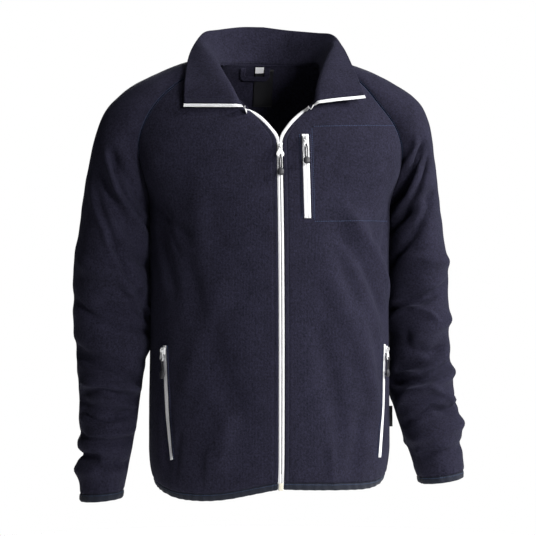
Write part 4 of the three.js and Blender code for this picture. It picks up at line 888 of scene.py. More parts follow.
def collar_points(along, height):
    """Points on the middle of the collar's wall, from the right front end to the left one."""
    side = np.where(along < 0, -1.0, 1.0)
    at = 1 - np.abs(along)

    def both(names):
        right, left = (points_at(rows, at, names) for rows in (COLLAR_RIGHT, COLLAR_LEFT))
        points = np.where((along < 0)[..., None], right, left)
        return points * np.stack([side, np.ones_like(side), np.ones_like(side)], -1)

    roll, edge = both(("rx", "ry", "rz")), both(("ex", "ey", "ez"))
    seam = points_at(NECK_SEAM, at)
    seam[..., 0] *= side
    seam = seam + unit(roll - seam) * read(COLLAR_LIFT, "lift", at)[..., None]
    seam[..., 1] -= COLLAR_FRONT_LIFT * (1 - smooth(at / COLLAR_FRONT_REACH))
    to_roll = np.linalg.norm(roll - seam, axis=-1)
    to_edge = np.linalg.norm(roll - edge, axis=-1)
    roll_at = to_roll / (to_roll + to_edge)
    slopes = [(roll - seam) / roll_at[..., None], edge - seam, (edge - roll) / (1 - roll_at)[..., None]]
    lower = height <= roll_at
    span = np.where(lower, roll_at, 1 - roll_at)[..., None]
    k = np.where(lower, height / roll_at, (height - roll_at) / (1 - roll_at))[..., None]
    start, end = np.where(lower[..., None], seam, roll), np.where(lower[..., None], roll, edge)
    slope0 = np.where(lower[..., None], slopes[0], slopes[1])
    slope1 = np.where(lower[..., None], slopes[1], slopes[2])
    return cubic(k, span, start, end, slope0, slope1)


def make_collar():
    """The collar, folded open at the front ends."""
    alongs = fine_near_ends(COLLAR_GIRTH)[None, :] * 2 - 1
    heights = fine_near_ends(COLLAR_HEIGHT, first=False)[:, None]
    grid = collar_points(alongs + 0 * heights, heights + 0 * alongs)
    grid[0] -= unit(grid[1] - grid[0]) * SEAM_TUCK
    return Cloth(grid, np.zeros_like(grid) + np.array(COLLAR_MIDDLE))


@functools.lru_cache(maxsize=None)
def garment():
    """All sheets of cloth by name, each with its binding's rows at the end."""
    sheets = {"back": make_back()}
    for name, side in SIDES.items():
        sheets[f"front_{name}"] = make_front(side)
        sheets[f"sleeve_{name}"] = make_sleeve(side)
    join_seams(sheets)
    for name, cloth in sheets.items():
        cloth.lift(relief(cloth, not name.startswith("front"), SEEDS[name], name.startswith("sleeve")))
    for name, side in SIDES.items():
        rest_on_torso(sheets[f"sleeve_{name}"], sheets[f"front_{name}"], side)
    join_seams(sheets)
    sheets["collar"] = make_collar()
    return sheets


def panel(name):
    """A panel without its binding's rows."""
    return garment()[name].cut(slice(None, -BINDING_ROWS))


def binding_of(name):
    """The rows of a panel that its binding covers."""
    return garment()[name].cut(slice(-1 - BINDING_ROWS, None))


# Meshes

# Corners nearer than this, in metres, are one
SAME_PLACE = 1e-6
# Fineness of the beads that stitches and coils are made of
BEAD_SIDES, BEAD_RINGS = 6, 4
# A direction that no cord starts in
OFF_THE_ROUTE = (0.3, 0.9, 0.2)


def fresh_grid(rows, columns):
    """A bmesh grid and the layer that numbers its corners row by row."""
    bm = bmesh.new()
    place = bm.verts.layers.int.new("place")
    bmesh.ops.create_grid(bm, x_segments=columns - 1, y_segments=rows - 1, size=1.0)
    for vert in bm.verts:
        column = round((vert.co.x + 1) / 2 * (columns - 1))
        row = round((vert.co.y + 1) / 2 * (rows - 1))
        vert[place] = row * columns + column
    return bm, place


def sheet_mesh(outer, inner, origin=0):
    """A closed wall between two grids of points, with a flat map of its cloth in metres.

    The map starts from one column, so that the grain of the cloth runs along it."""
    rows, columns = outer.shape[:2]
    bm, place = fresh_grid(rows, columns)
    outside, inside = (outer * MM).reshape(-1, 3), (inner * MM).reshape(-1, 3)
    for vert in bm.verts:
        vert.co = outside[vert[place]]
    made = bmesh.ops.extrude_face_region(bm, geom=bm.faces[:], use_keep_orig=True)
    for vert in made["geom"]:
        if isinstance(vert, bmesh.types.BMVert):
            vert.co = inside[vert[place]]
    bmesh.ops.recalc_face_normals(bm, faces=bm.faces)
    across, down = distances(outer, 1), distances(outer, 0)
    flat = np.stack([across - across[:, [origin]], down + 0 * across], -1).reshape(-1, 2) * MM
    layer = bm.loops.layers.uv.new("cloth")
    for face in bm.faces:
        for loop in face.loops:
            loop[layer].uv = flat[loop.vert[place]]
    return bm


def tube_mesh(route, radius, sides):
    """A round closed tube along a route of points."""
    tangents = unit(np.gradient(route, axis=0))
    across = [unit(np.cross(tangents[0], OFF_THE_ROUTE))]
    for tangent in tangents[1:]:
        turned = across[-1] - tangent * np.dot(across[-1], tangent)
        across.append(unit(turned))
    across = np.array(across)
    up = np.cross(tangents, across)
    angles = np.linspace(0, 2 * math.pi, sides + 1)[None, :, None]
    ring = across[:, None] * np.cos(angles) + up[:, None] * np.sin(angles)
    points = ((route[:, None] + radius * ring) * MM).reshape(-1, 3)
    bm, place = fresh_grid(len(route), sides + 1)
    for vert in bm.verts:
        vert.co = points[vert[place]]
    bmesh.ops.remove_doubles(bm, verts=bm.verts, dist=SAME_PLACE)
    bmesh.ops.holes_fill(bm, edges=bm.edges, sides=sides)
    bmesh.ops.recalc_face_normals(bm, faces=bm.faces)
    return bm


def make_object(name, bm, material):
    """A smooth object from a bmesh, with one material."""
    mesh = bpy.data.meshes.new(name)
    bm.to_mesh(mesh)
    bm.free()
    mesh.shade_smooth()
    mesh.materials.append(material)
    piece = bpy.data.objects.new(name, mesh)
    bpy.context.scene.collection.objects.link(piece)
    return piece


def scatter(name, template, places, material):
    """Joins many copies of a small shape, one for each 4x4 matrix in millimetres."""
    one = bpy.data.meshes.new(name + "_one")
    template.to_mesh(one)
    template.free()
    corners = np.array([[*vert.co, 1.0] for vert in one.vertices])
    bm = bmesh.new()
    for _ in range(len(places)):
        bm.from_mesh(one)
    piece = make_object(name, bm, material)
    moved = np.einsum("nij,vj->nvi", places, corners)[..., :3]
    piece.data.vertices.foreach_set("co", (moved * MM).ravel())
    piece.data.update()
    return piece


def places_along(points, normals, pitch, size, height=0.0):
    """Matrices of small shapes along a line: size along it, across it and above it."""
    far = np.concatenate([[0], np.cumsum(np.linalg.norm(np.diff(points, axis=0), axis=-1))])
    stops = np.arange(pitch / 2, far[-1], pitch)
    spots = np.stack([np.interp(stops, far, points[:, i]) for i in range(3)], -1)
    outs = unit(np.stack([np.interp(stops, far, normals[:, i]) for i in range(3)], -1))
    runs = unit(np.gradient(spots, axis=0)) if len(spots) > 1 else unit(points[-1:] - points[:1])
    outs = unit(outs - runs * np.sum(outs * runs, -1, keepdims=True))
    places = np.zeros((len(stops), 4, 4))
    axes = (runs, np.cross(outs, runs), outs)
    for i, (axis, length) in enumerate(zip(axes, size)):
        places[:, :3, i] = axis * length
    places[:, :3, 3] = spots + outs * height
    places[:, 3, 3] = 1
    return places


def bead():
    """A small round bead, one unit in radius, to be stretched."""
    bm = bmesh.new()
    bmesh.ops.create_uvsphere(bm, u_segments=BEAD_SIDES, v_segments=BEAD_RINGS, radius=1.0)
    return bm


def dress(piece, slot, *nodes, body=BODY):
    """Makes a piece ride on a body and stand for its solids, which it hides. The slot is not used."""
    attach(piece, body)
    if nodes:
        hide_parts(*nodes)


# Materials

# Metres from band to band of a wave texture at scale 1
WAVE_PERIOD = math.pi / 10
# The real nap is finer than 1 mm and the wales 1.2 mm apart: both are drawn coarser, so that they show
NAP_MM = 3.0
NAP_DEPTH_MM = 1.0
WALE_MM = 2.4
BRUSHING_MM = 30.0
# Shares of the wales and of the brushing in the shade of the cloth
WALE_SHARE, BRUSHING_SHARE = 0.1, 0.12
FLEECE_CODE = "#201F2D"
# Darkest and palest shade of each kind of surface, as shares of its colour
FLEECE_SHADES, WOVEN_SHADES, MOULDED_SHADES = (0.3, 1.76), (0.82, 1.12), (0.9, 1.06)
# Strength of the bumps
FLEECE_BUMP, BUMP = 0.7, 0.5
WOVEN_WEAR_MM = 18.0
WOVEN_DEPTH_MM = 0.2
# Wear of a moulded surface: its size in grains, and how far it moves the roughness down and up
WEAR_GRAINS = 8
SMOOTHER, ROUGHER = 0.06, 0.08


def linear(code, share=1.0):
    """An sRGB hex colour, lightened by a share, as linear red, green, blue and alpha."""
    channels = [int(code[i:i + 2], 16) / 255 for i in (1, 3, 5)]
    curve = [c / 12.92 if c <= 0.04045 else ((c + 0.055) / 1.055) ** 2.4 for c in channels]
    return tuple(min(1.0, c * share) for c in curve) + (1.0,)


def per_metre(size_mm):
    """Scale of a noise whose lumps have a size in millimetres."""
    return 1000.0 / size_mm


def per_metre_band(pitch_mm):
    """Scale of a wave texture whose bands lie a pitch in millimetres apart."""
    return WAVE_PERIOD * 1000.0 / pitch_mm


def add(tree, kind, values=None, links=None, **settings):
    """Adds a node with its settings, socket values and links."""
    node = tree.nodes.new(kind)
    for key, value in settings.items():
        setattr(node, key, value)
    for socket, value in (values or {}).items():
        node.inputs[socket].default_value = value
    for socket, source in (links or {}).items():
        tree.links.new(source, node.inputs[socket])
    return node


def new_material(name):
    """An empty node material and its tree."""
    material = bpy.data.materials.new(name)
    material.use_nodes = True
    material.node_tree.nodes.clear()
    return material, material.node_tree


def surface(tree, code, shades, shade, height, bump, values, links=None):
    """What all materials end in: two shades of a colour, a bump, and their shader and output."""
    dark, pale = (linear(code, share) for share in shades)
    strength, depth_mm = bump
    colour = add(tree, "ShaderNodeMix", {6: dark, 7: pale}, {"Factor": shade}, data_type="RGBA")
    dents = add(
        tree, "ShaderNodeBump", {"Strength": strength, "Distance": depth_mm * MM}, {"Height": height},
    )
    links = {"Base Color": colour.outputs[2], "Normal": dents.outputs[0], **(links or {})}
    shader = add(tree, "ShaderNodeBsdfPrincipled", values, links)
    add(tree, "ShaderNodeOutputMaterial", links={"Surface": shader.outputs[0]})


@functools.lru_cache(maxsize=None)
def fleece():
    """Brushed polyester fleece, dyed navy: a short matted nap over fine knitted wales.

    The nap scatters light, so the cloth has no gloss but a soft pale sheen at its edges."""
    material, tree = new_material("navy_polar_fleece")
    coords = add(tree, "ShaderNodeTexCoord")
    solid, flat = coords.outputs["Object"], coords.outputs["UV"]
    nap = add(
        tree, "ShaderNodeTexNoise", {"Scale": per_metre(NAP_MM), "Detail": 5.0, "Roughness": 0.8},
        {"Vector": solid},
    )
    brushing = add(
        tree, "ShaderNodeTexNoise", {"Scale": per_metre(BRUSHING_MM), "Detail": 3.0}, {"Vector": solid},
    )
    wales = add(
        tree, "ShaderNodeTexWave",
        {"Scale": per_metre_band(WALE_MM), "Distortion": 1.6, "Detail": 2.0, "Detail Scale": 2.5},
        {"Vector": flat},
    )
    mixed = add(
        tree, "ShaderNodeMix", {"Factor": WALE_SHARE}, {2: nap.outputs[0], 3: wales.outputs["Fac"]},
        data_type="FLOAT",
    )
    shade = add(
        tree, "ShaderNodeMix", {"Factor": BRUSHING_SHARE}, {2: mixed.outputs[0], 3: brushing.outputs[0]},
        data_type="FLOAT",
    )
    span = add(
        tree, "ShaderNodeMapRange", {"From Min": 0.35, "From Max": 0.65}, {"Value": shade.outputs[0]},
    )
    values = {
        "Roughness": 0.95,
        "Specular IOR Level": 0.12,
        "Sheen Weight": 0.07,
        "Sheen Roughness": 0.5,
        "Sheen Tint": linear("#8C90B0"),
    }
    bump = (FLEECE_BUMP, NAP_DEPTH_MM)
    surface(tree, FLEECE_CODE, FLEECE_SHADES, span.outputs[0], mixed.outputs[0], bump, values)
    return material


@functools.lru_cache(maxsize=None)
def woven(name, code, pitch_mm, roughness, sheen=0.0):
    """A ribbed woven or knitted narrow fabric, whose threads cross at a pitch."""
    material, tree = new_material(name)
    coords = add(tree, "ShaderNodeTexCoord")
    links = {"Vector": coords.outputs["UV"]}
    scale = {"Scale": per_metre_band(pitch_mm), "Distortion": 0.4}
    warp = add(tree, "ShaderNodeTexWave", scale, links, bands_direction="X")
    weft = add(tree, "ShaderNodeTexWave", scale, links, bands_direction="Y")
    threads = add(
        tree, "ShaderNodeMix", {"Factor": 0.5}, {2: warp.outputs["Fac"], 3: weft.outputs["Fac"]},
        data_type="FLOAT",
    )
    wear = add(
        tree, "ShaderNodeTexNoise", {"Scale": per_metre(WOVEN_WEAR_MM), "Detail": 3.0},
        {"Vector": coords.outputs["Object"]},
    )
    shade = add(
        tree, "ShaderNodeMix", {"Factor": 0.5}, {2: threads.outputs[0], 3: wear.outputs[0]},
        data_type="FLOAT",
    )
    values = {"Roughness": roughness, "Sheen Weight": sheen, "Specular IOR Level": 0.3}
    bump = (BUMP, WOVEN_DEPTH_MM)
    surface(tree, code, WOVEN_SHADES, shade.outputs[0], threads.outputs[0], bump, values)
    return material


@functools.lru_cache(maxsize=None)
def moulded(name, code, roughness, grain_mm, grain_depth_mm, coat=0.0):
    """A moulded, painted or spun surface with its own fine grain and a little wear."""
    material, tree = new_material(name)
    coords = {"Vector": add(tree, "ShaderNodeTexCoord").outputs["Object"]}
    grain = add(tree, "ShaderNodeTexNoise", {"Scale": per_metre(grain_mm), "Detail": 3.0}, coords)
    worn = add(
        tree, "ShaderNodeTexNoise", {"Scale": per_metre(grain_mm * WEAR_GRAINS), "Detail": 3.0}, coords,
    )
    gloss = add(
        tree, "ShaderNodeMapRange", {"To Min": roughness - SMOOTHER, "To Max": roughness + ROUGHER},
        {"Value": worn.outputs[0]},
    )
    surface(
        tree, code, MOULDED_SHADES, worn.outputs[0], grain.outputs[0], (BUMP, grain_depth_mm),
        {"Coat Weight": coat}, {"Roughness": gloss.outputs[0]},
    )
    return material


FINISHES = {
    "fleece": fleece,
    # Knitted elastic binding: flatter and bluer than the fleece, with a dull face
    "binding": lambda: woven(
        "blue_elastic_binding", "#191D2A", pitch_mm=0.9, roughness=0.85, sheen=0.05,
    ),
    # Woven polyester tape: a matt white rib
    "tape": lambda: woven(
        "white_polyester_tape", "#EAEAEC", pitch_mm=0.8, roughness=0.7,
    ),
    # Satin woven labels: a slight shine along the threads
    "black_label": lambda: woven(
        "black_satin_label", "#141419", pitch_mm=0.5, roughness=0.5,
    ),
    "white_label": lambda: woven(
        "white_satin_label", "#EDEDEF", pitch_mm=0.5, roughness=0.5,
    ),
    # Nylon coil: smooth white monofilament
    "coil": lambda: moulded(
        "white_nylon_coil", "#EFEFF1", roughness=0.38, grain_mm=0.8, grain_depth_mm=0.03,
    ),
    # Die-cast zinc with white enamel: a smooth gloss
    "enamel": lambda: moulded(
        "white_enamelled_zinc", "#ECECEC", roughness=0.28, grain_mm=2.0, grain_depth_mm=0.02, coat=0.4,
    ),
    # Acetal, injection moulded: cream with a soft shine
    "box": lambda: moulded(
        "cream_acetal", "#E4DECC", roughness=0.4, grain_mm=1.5, grain_depth_mm=0.03,
    ),
    # Braided nylon cord: matt black with fine ribs
    "cord": lambda: moulded(
        "black_braided_nylon", "#1A1A1F", roughness=0.7, grain_mm=0.5, grain_depth_mm=0.25,
    ),
    # Soft rubber moulded over the ends of the cord: dark grey and dull
    "grip": lambda: moulded(
        "grey_moulded_rubber", "#2B2B30", roughness=0.5, grain_mm=0.6, grain_depth_mm=0.06,
    ),
    # Spun polyester thread, a little lighter and bluer than the cloth
    "thread": lambda: moulded(
        "blue_spun_thread", "#30486E", roughness=0.6, grain_mm=0.3, grain_depth_mm=0.05,
    ),
    "dark_thread": lambda: moulded(
        "navy_spun_thread", "#1D1F30", roughness=0.7, grain_mm=0.3, grain_depth_mm=0.05,
    ),
    # Matt painted studio floor
    "floor": lambda: moulded(
        "pale_studio_paint", "#FDFDFD", roughness=0.9, grain_mm=8.0, grain_depth_mm=0.02,
    ),
}


def finish(name):
    """The material of one kind of piece."""
    return FINISHES[name]()


# Settings shown in the sidebar
class JACKET_PG_sizes(bpy.types.PropertyGroup):
    """Sizes that change the sewing and the zips."""

    stitch_pitch: bpy.props.FloatProperty(
        name="Stitch Pitch", description="Length of one stitch with its gap", default=3.2 * MM,
        min=2.0 * MM, unit="LENGTH",
    )
    thread: bpy.props.FloatProperty(
        name="Thread", description="Thickness of the sewing thread", default=0.7 * MM, unit="LENGTH",
    )
    tooth_pitch: bpy.props.FloatProperty(
        name="Tooth Pitch", description="Distance between the teeth of one side of the zip",
        default=1.5 * MM, min=1.0 * MM, unit="LENGTH",
    )
    camera_distance: bpy.props.FloatProperty(
        name="Camera Distance", description="Distance of the camera from the middle of the jacket",
        default=3.0, unit="LENGTH",
    )


class JACKET_PG_light(bpy.types.PropertyGroup):
    """Strengths of the studio light."""

    key_power: bpy.props.FloatProperty(
        name="Key Light", description="Power of the large light at the right side", default=105.0,
        unit="POWER",
    )
    front_share: bpy.props.FloatProperty(
        name="Front Light", description="Share of the key light that comes from the front", default=0.72,
    )
    surroundings: bpy.props.FloatProperty(
        name="Surroundings", description="Strength of the light from all sides", default=0.06,
    )
    backdrop: bpy.props.FloatProperty(
        name="Backdrop", description="Brightness of the backdrop behind the jacket", default=1.0,
    )


# Stage and camera
AZIMUTH = math.radians(7.5)
FRAME_PX = 536
MM_PER_PX = 1.68
AXIS_PX = 269.4
CAMERA_HEIGHT = -0.344
FLOOR_RADIUS = 1.7
FLOOR_BELOW_HEM = 0.3
FLOOR_SIDES = 96
SENSOR_MM = 36.0
SEEN_TO = 200.0
WHITE = (1, 1, 1, 1)
LIGHT_AIM = (0.0, 0.0, -0.35)
# Place and size of each lamp in metres, and its share of the key light's power.
# The share of the front light is a setting in the sidebar
LAMPS = {
    "key": ((2.5, -0.8, 1.1), 0.8, 1.0),
    "front": ((1.5, -2.7, 0.7), 0.9, None),
    "top": ((0.6, -0.4, 2.2), 1.2, 0.16),
    "behind": ((0.2, 2.7, 0.8), 1.6, 0.6),
}


class JACKET_OT_stage(bpy.types.Operator):
    """Build the camera, the pale floor and the soft lights"""

    bl_idname = "jacket.stage"
    bl_label = "Stage"

    def execute(self, context):
        distance = context.scene.jacket_sizes.camera_distance
        away = Vector((math.sin(AZIMUTH), math.cos(AZIMUTH), 0))
        camera = bpy.data.cameras.new("camera")
        camera.sensor_width = SENSOR_MM
        camera.lens = camera.sensor_width * distance / MM / MM_PER_PX / FRAME_PX
        camera.shift_x = -(AXIS_PX - FRAME_PX / 2) / FRAME_PX
        camera.clip_end = SEEN_TO
        stand = bpy.data.objects.new("camera", camera)
        stand.location = away * -distance + Vector((0, 0, CAMERA_HEIGHT))
        stand.rotation_euler = (math.pi / 2, 0, -AZIMUTH)
        context.scene.collection.objects.link(stand)
        context.scene.camera = stand
        context.scene.view_settings.view_transform = "Standard"
        self.add_floor()
        self.add_surroundings(context)
        self.add_lamps(context)
        return {"FINISHED"}

    def add_floor(self):
        """A pale disc below the jacket."""
        bm = bmesh.new()
        bmesh.ops.create_circle(bm, cap_ends=True, segments=FLOOR_SIDES, radius=FLOOR_RADIUS)
        bmesh.ops.translate(bm, verts=bm.verts, vec=(0, 0, CAD_BOX[0][2] - FLOOR_BELOW_HEM))
        make_object("studio_floor", bm, finish("floor"))

    def add_surroundings(self, context):
        """Pale surroundings, brighter where the camera sees them directly."""
        light = context.scene.jacket_light
        world = bpy.data.worlds.new("studio")
        world.use_nodes = True
        tree = world.node_tree
        tree.nodes.clear()
        around, behind = (
            add(tree, "ShaderNodeBackground", {"Color": WHITE, "Strength": strength})
            for strength in (light.surroundings, light.backdrop)
        )
        seen = add(tree, "ShaderNodeLightPath")
        both = add(
            tree, "ShaderNodeMixShader",
            links={0: seen.outputs["Is Camera Ray"], 1: around.outputs[0], 2: behind.outputs[0]},
        )
        add(tree, "ShaderNodeOutputWorld", links={"Surface": both.outputs[0]})
        context.scene.world = world

    def add_lamps(self, context):
        """A large key light at the right, and weaker ones in front, above and behind."""
        light = context.scene.jacket_light
        for name, (place, size, share) in LAMPS.items():
            lamp = bpy.data.lights.new(name, "AREA")
            lamp.shape = "DISK"
            lamp.size = size
            lamp.energy = light.key_power * (light.front_share if share is None else share)
            stand = bpy.data.objects.new(name, lamp)
            stand.location = place
            towards = Vector(LIGHT_AIM) - Vector(place)
            stand.rotation_euler = towards.to_track_quat("-Z", "Y").to_euler()
            stand.visible_camera = False
            context.scene.collection.objects.link(stand)


# Cut sizes of the fleece pieces: width, length and flat area, in metres
FLEECE_CUTS = {
    "front_right": (0.29, 0.72, 0.172),
    "front_left": (0.29, 0.72, 0.168),
    "back": (0.56, 0.73, 0.330),
    "sleeve_right": (0.45, 0.78, 0.261),
    "sleeve_left": (0.43, 0.77, 0.247),
}


class JACKET_OT_panels(bpy.types.Operator):
    """Build the fronts, the back and the sleeves"""

    bl_idname = "jacket.panels"
    bl_label = "Fleece Panels"

    def execute(self, context):
        for node, (width, length, area) in FLEECE_CUTS.items():
            cloth = panel(node)
            origin = 0 if node.startswith("front") else cloth.grid.shape[1] // 2
            bm = sheet_mesh(cloth.grid, cloth.raised(-FLEECE_WALL), origin)
            piece = make_object(f"fleece_{node}", bm, finish("fleece"))
            dress(piece, "fleece", node)
        return {"FINISHED"}


# Rolled edges of the collar: depth and reach. Its sewn lines: place, depth and width
COLLAR_END_ROLL = (1.5, 2.0)
COLLAR_SEAM_ROLL = (1.5, 2.0)
COLLAR_EDGE_ROLL = (1.7, 2.4)
COLLAR_SEAM_STITCH_AT = SEAM_STITCH_AT + 2
COLLAR_END_STITCH = (ZIP_STITCH_AT, 0.7, 1.3)
COLLAR_SEAM_STITCH = (COLLAR_SEAM_STITCH_AT, 0.5, 1.2)


def collar_half_wall(cloth):
    """Half the thickness of the collar, with its rounded edges and sewn lines."""
    from_first = distances(cloth.grid, 1)
    down = distances(cloth.grid, 0)
    half = np.full(cloth.grid.shape[:2], COLLAR_WALL / 2)
    for distance in (from_first, from_first[:, -1:] - from_first):
        half += rolled_edge(distance, *COLLAR_END_ROLL) + sewn_line(distance, *COLLAR_END_STITCH)
    half += rolled_edge(down[-1:] - down, *COLLAR_EDGE_ROLL)
    return half + rolled_edge(down, *COLLAR_SEAM_ROLL) + sewn_line(down, *COLLAR_SEAM_STITCH)


class JACKET_OT_collar(bpy.types.Operator):
    """Build the two-layer collar, folded open"""

    bl_idname = "jacket.collar"
    bl_label = "Collar"

    def execute(self, context):
        cloth = garment()["collar"]
        half = collar_half_wall(cloth)
        soft = waves(cloth.grid, COLLAR_WAVES)
        bm = sheet_mesh(cloth.raised(soft + half), cloth.raised(soft - half), cloth.grid.shape[1] // 2)
        piece = make_object("fleece_collar", bm, finish("fleece"))
        dress(piece, "fleece", "collar")
        return {"FINISHED"}


# Bindings
PUCKER_LENGTH = 5.5
PUCKER_HEIGHT = 0.1
PUCKER_WANDER, PUCKER_WANDER_SIZE, PUCKER_SEED = 5.0, 30.0, 53.0
BINDING_STEP = 1.4
BINDING_PROUD = 0.5
BINDING_EDGE_HALF = 0.15
BINDING_STITCH_AT, BINDING_STITCH_DEPTH, BINDING_STITCH_WIDTH = 2.6, 0.7, 1.0
LEAST_COLUMNS = 8
# Flat width of what shows of a binding, and the lengths of the three, in metres
HEM_LENGTH, CUFF_RIGHT_LENGTH, CUFF_LEFT_LENGTH = 1.12, 0.245, 0.26


def finer(cloth, step):
    """The same strip with columns a step apart."""
    far = distances(cloth.grid, 1)[0]
    count = max(LEAST_COLUMNS, int(far[-1] / step))
    place = np.interp(np.linspace(0, far[-1], count), far, np.arange(len(far)))
    low = np.minimum(place.astype(int), len(far) - 2)
    k = (place - low)[None, :, None]
    blend = [mix(values[:, low], values[:, low + 1], k) for values in (cloth.grid, cloth.normals)]
    return Cloth(blend[0], None, unit(blend[1]))


def binding_mesh(strip):
    """A rounded band of elastic, puckered where it is stretched and sewn on."""
    fine = finer(strip, BINDING_STEP)
    far, down = distances(fine.grid, 1), distances(fine.grid, 0)
    across = np.linspace(-1, 1, fine.grid.shape[0])[:, None]
    half = BINDING_WALL / 2 * (1 - across**4) ** 0.5 + BINDING_EDGE_HALF
    wander = PUCKER_WANDER * uneven(fine.grid, PUCKER_WANDER_SIZE, PUCKER_SEED)
    puckers = PUCKER_HEIGHT * np.sin(far / PUCKER_LENGTH * 2 * math.pi + wander) * (1 - across**2)
    sewn = sewn_line(down, BINDING_STITCH_AT, BINDING_STITCH_DEPTH, BINDING_STITCH_WIDTH)
    middle = BINDING_PROUD - BINDING_WALL / 2
    return sheet_mesh(fine.raised(middle + half + puckers + sewn), fine.raised(middle - half - puckers))


def hem_strip():
    """The hem's binding rows in one strip from zip to zip."""
    right, back, left = (binding_of(name) for name in ("front_right", "back", "front_left"))
    parts = [
        np.concatenate([a, b[:, 1:-1], c[:, ::-1]], axis=1)
        for a, b, c in ((right.grid, back.grid, left.grid), (right.normals, back.normals, left.normals))
    ]
    return Cloth(parts[0], None, parts[1])


class JACKET_OT_bindings(bpy.types.Operator):
    """Build the elastic bindings of the hem and the cuffs"""

    bl_idname = "jacket.bindings"
    bl_label = "Bindings"

    def execute(self, context):
        strips = {
            "hem_binding": (hem_strip(), HEM_LENGTH),
            "cuff_binding_right": (binding_of("sleeve_right"), CUFF_RIGHT_LENGTH),
            "cuff_binding_left": (binding_of("sleeve_left"), CUFF_LEFT_LENGTH),
        }
        for node, (strip, length) in strips.items():
            piece = make_object(f"elastic_{node}", binding_mesh(strip), finish("binding"))
            dress(piece, "binding", node)
        return {"FINISHED"}


# Zip tapes of the main zip
TAPE_HALF = 0.55
TAPE_REACHES = (0.1, 0.8, 1.5, 2.1, 2.6, 3.1, 3.6, 3.9, TAPE_SHOWING + SEAM_GAP)
FLAT_COLUMN = 14
# Above the slider the open tapes show more of their width, and most where they turn at the neck
SLIDER_TOP = -145.0
OPEN_TAPE_SHARE = 1.4
TURNED_SHARE = 1.3
TURNED_REACH = 24.0
# Columns of the collar: its end and one further in, from the right and from the left
COLLAR_END_COLUMNS = {-1: (0, 3), 1: (-1, -4)}
# The front tape ends this far before the outer corner of the collar's tape
JOINT_FORWARD = (0.0, -1.0, 0.0)
# Rounds of calming, for the ends that meet and for the whole front
JOINT_ROUNDS = 4
CALM_ROUNDS = 30
OPENS_OVER = 15.0
# The tape is raised along the coil, and thins out at its edge
COIL_AT, COIL_WIDTH, COIL_RISE = 2.6, 0.8, 0.45
THIN_FROM, THIN_OVER, THIN_DROP = 3.6, 0.5, 0.4
TOOTH_AT = 3.0
TOOTH_SINK = 0.25
TOOTH_SIZE = (0.5, 1.35, 0.5)


def calmed(values, rounds):
    """Rows of values, each blended with its neighbours in every round."""
    values = values.copy()
    for _ in range(rounds):
        values[1:-1] = (values[:-2] + 2 * values[1:-1] + values[2:]) / 4
    return values


def tape_strip(points, away, faces, side, widening):
    """A strip of tape along an edge, on the side that looks away, wider by a share."""
    runs = unit(np.gradient(points, axis=0))
    outs = unit(np.cross(runs, faces))
    outs *= np.sign(np.sum(outs * away))
    reaches = np.array(TAPE_REACHES)[None, :] * widening[:, None]
    grid = points[:, None] + outs[:, None] * reaches[..., None]
    normals = np.repeat((np.cross(runs, outs) * side)[:, None], len(TAPE_REACHES), axis=1)
    return Cloth(grid, None, unit(normals))


def front_tape(side):
    """The tape of one front, from the hem to the neck, where its inner side spreads out."""
    front = garment()["front_right" if side < 0 else "front_left"]
    faces = unit(calmed(front.normals[:, FLAT_COLUMN][::-1], CALM_ROUNDS))
    points = front.grid[:, 0][::-1] + faces * (ZIP_ROLL_DEPTH - FLEECE_WALL / 2)
    away = (front.grid[:, 0] - front.grid[:, FLAT_COLUMN])[::-1]
    far = distances(points[None], 1)[0]
    near_neck = smooth(1 - (far[-1] - far) / TURNED_REACH)
    joint = collar_tape(side).grid[0, -1] + np.array(JOINT_FORWARD)
    points = points + (joint - points[-1]) * near_neck[:, None]
    widening = 1 + (OPEN_TAPE_SHARE - 1) * smooth((points[:, 2] - SLIDER_TOP) / OPENS_OVER)
    widening = widening + TURNED_SHARE * near_neck
    return tape_strip(calmed(points, JOINT_ROUNDS), away, faces, side, widening)


def collar_tape(side):
    """The tape along one end of the collar."""
    collar = garment()["collar"]
    end, inwards = COLLAR_END_COLUMNS[side]
    points = collar.grid[:, end].copy()
    points[0] = 2 * points[1] - points[2]
    faces = unit(calmed(collar.normals[:, end], JOINT_ROUNDS))
    away = points - collar.grid[:, inwards]
    return tape_strip(points, away, faces, side, np.full(len(points), OPEN_TAPE_SHARE))


class JACKET_OT_main_zip(bpy.types.Operator):
    """Build the two tapes of the main zip with their coils"""

    bl_idname = "jacket.main_zip"
    bl_label = "Main Zip"

    def execute(self, context):
        pitch = context.scene.jacket_sizes.tooth_pitch / MM
        reaches = np.array(TAPE_REACHES)[None, :]
        ridge = COIL_RISE * bell(reaches, COIL_AT, COIL_WIDTH)
        ridge = ridge - THIN_DROP * smooth((reaches - THIN_FROM) / THIN_OVER)
        for name, side in SIDES.items():
            pieces = []
            for part, tape in (("front", front_tape(side)), ("collar", collar_tape(side))):
                bm = sheet_mesh(tape.raised(TAPE_HALF + ridge), tape.raised(-TAPE_HALF))
                pieces.append(make_object(f"zip_tape_{name}_{part}", bm, finish("tape")))
                places = places_along(*tape.edge(TOOTH_AT), pitch, TOOTH_SIZE, -TAPE_HALF - TOOTH_SINK)
                pieces.append(scatter(f"zip_coil_{name}_{part}", bead(), places, finish("coil")))
            dress(pieces[0], "zip_tape", f"zip_tape_{name}")
            for piece in pieces[1:]:
                dress(piece, "zip_tape")
        return {"FINISHED"}


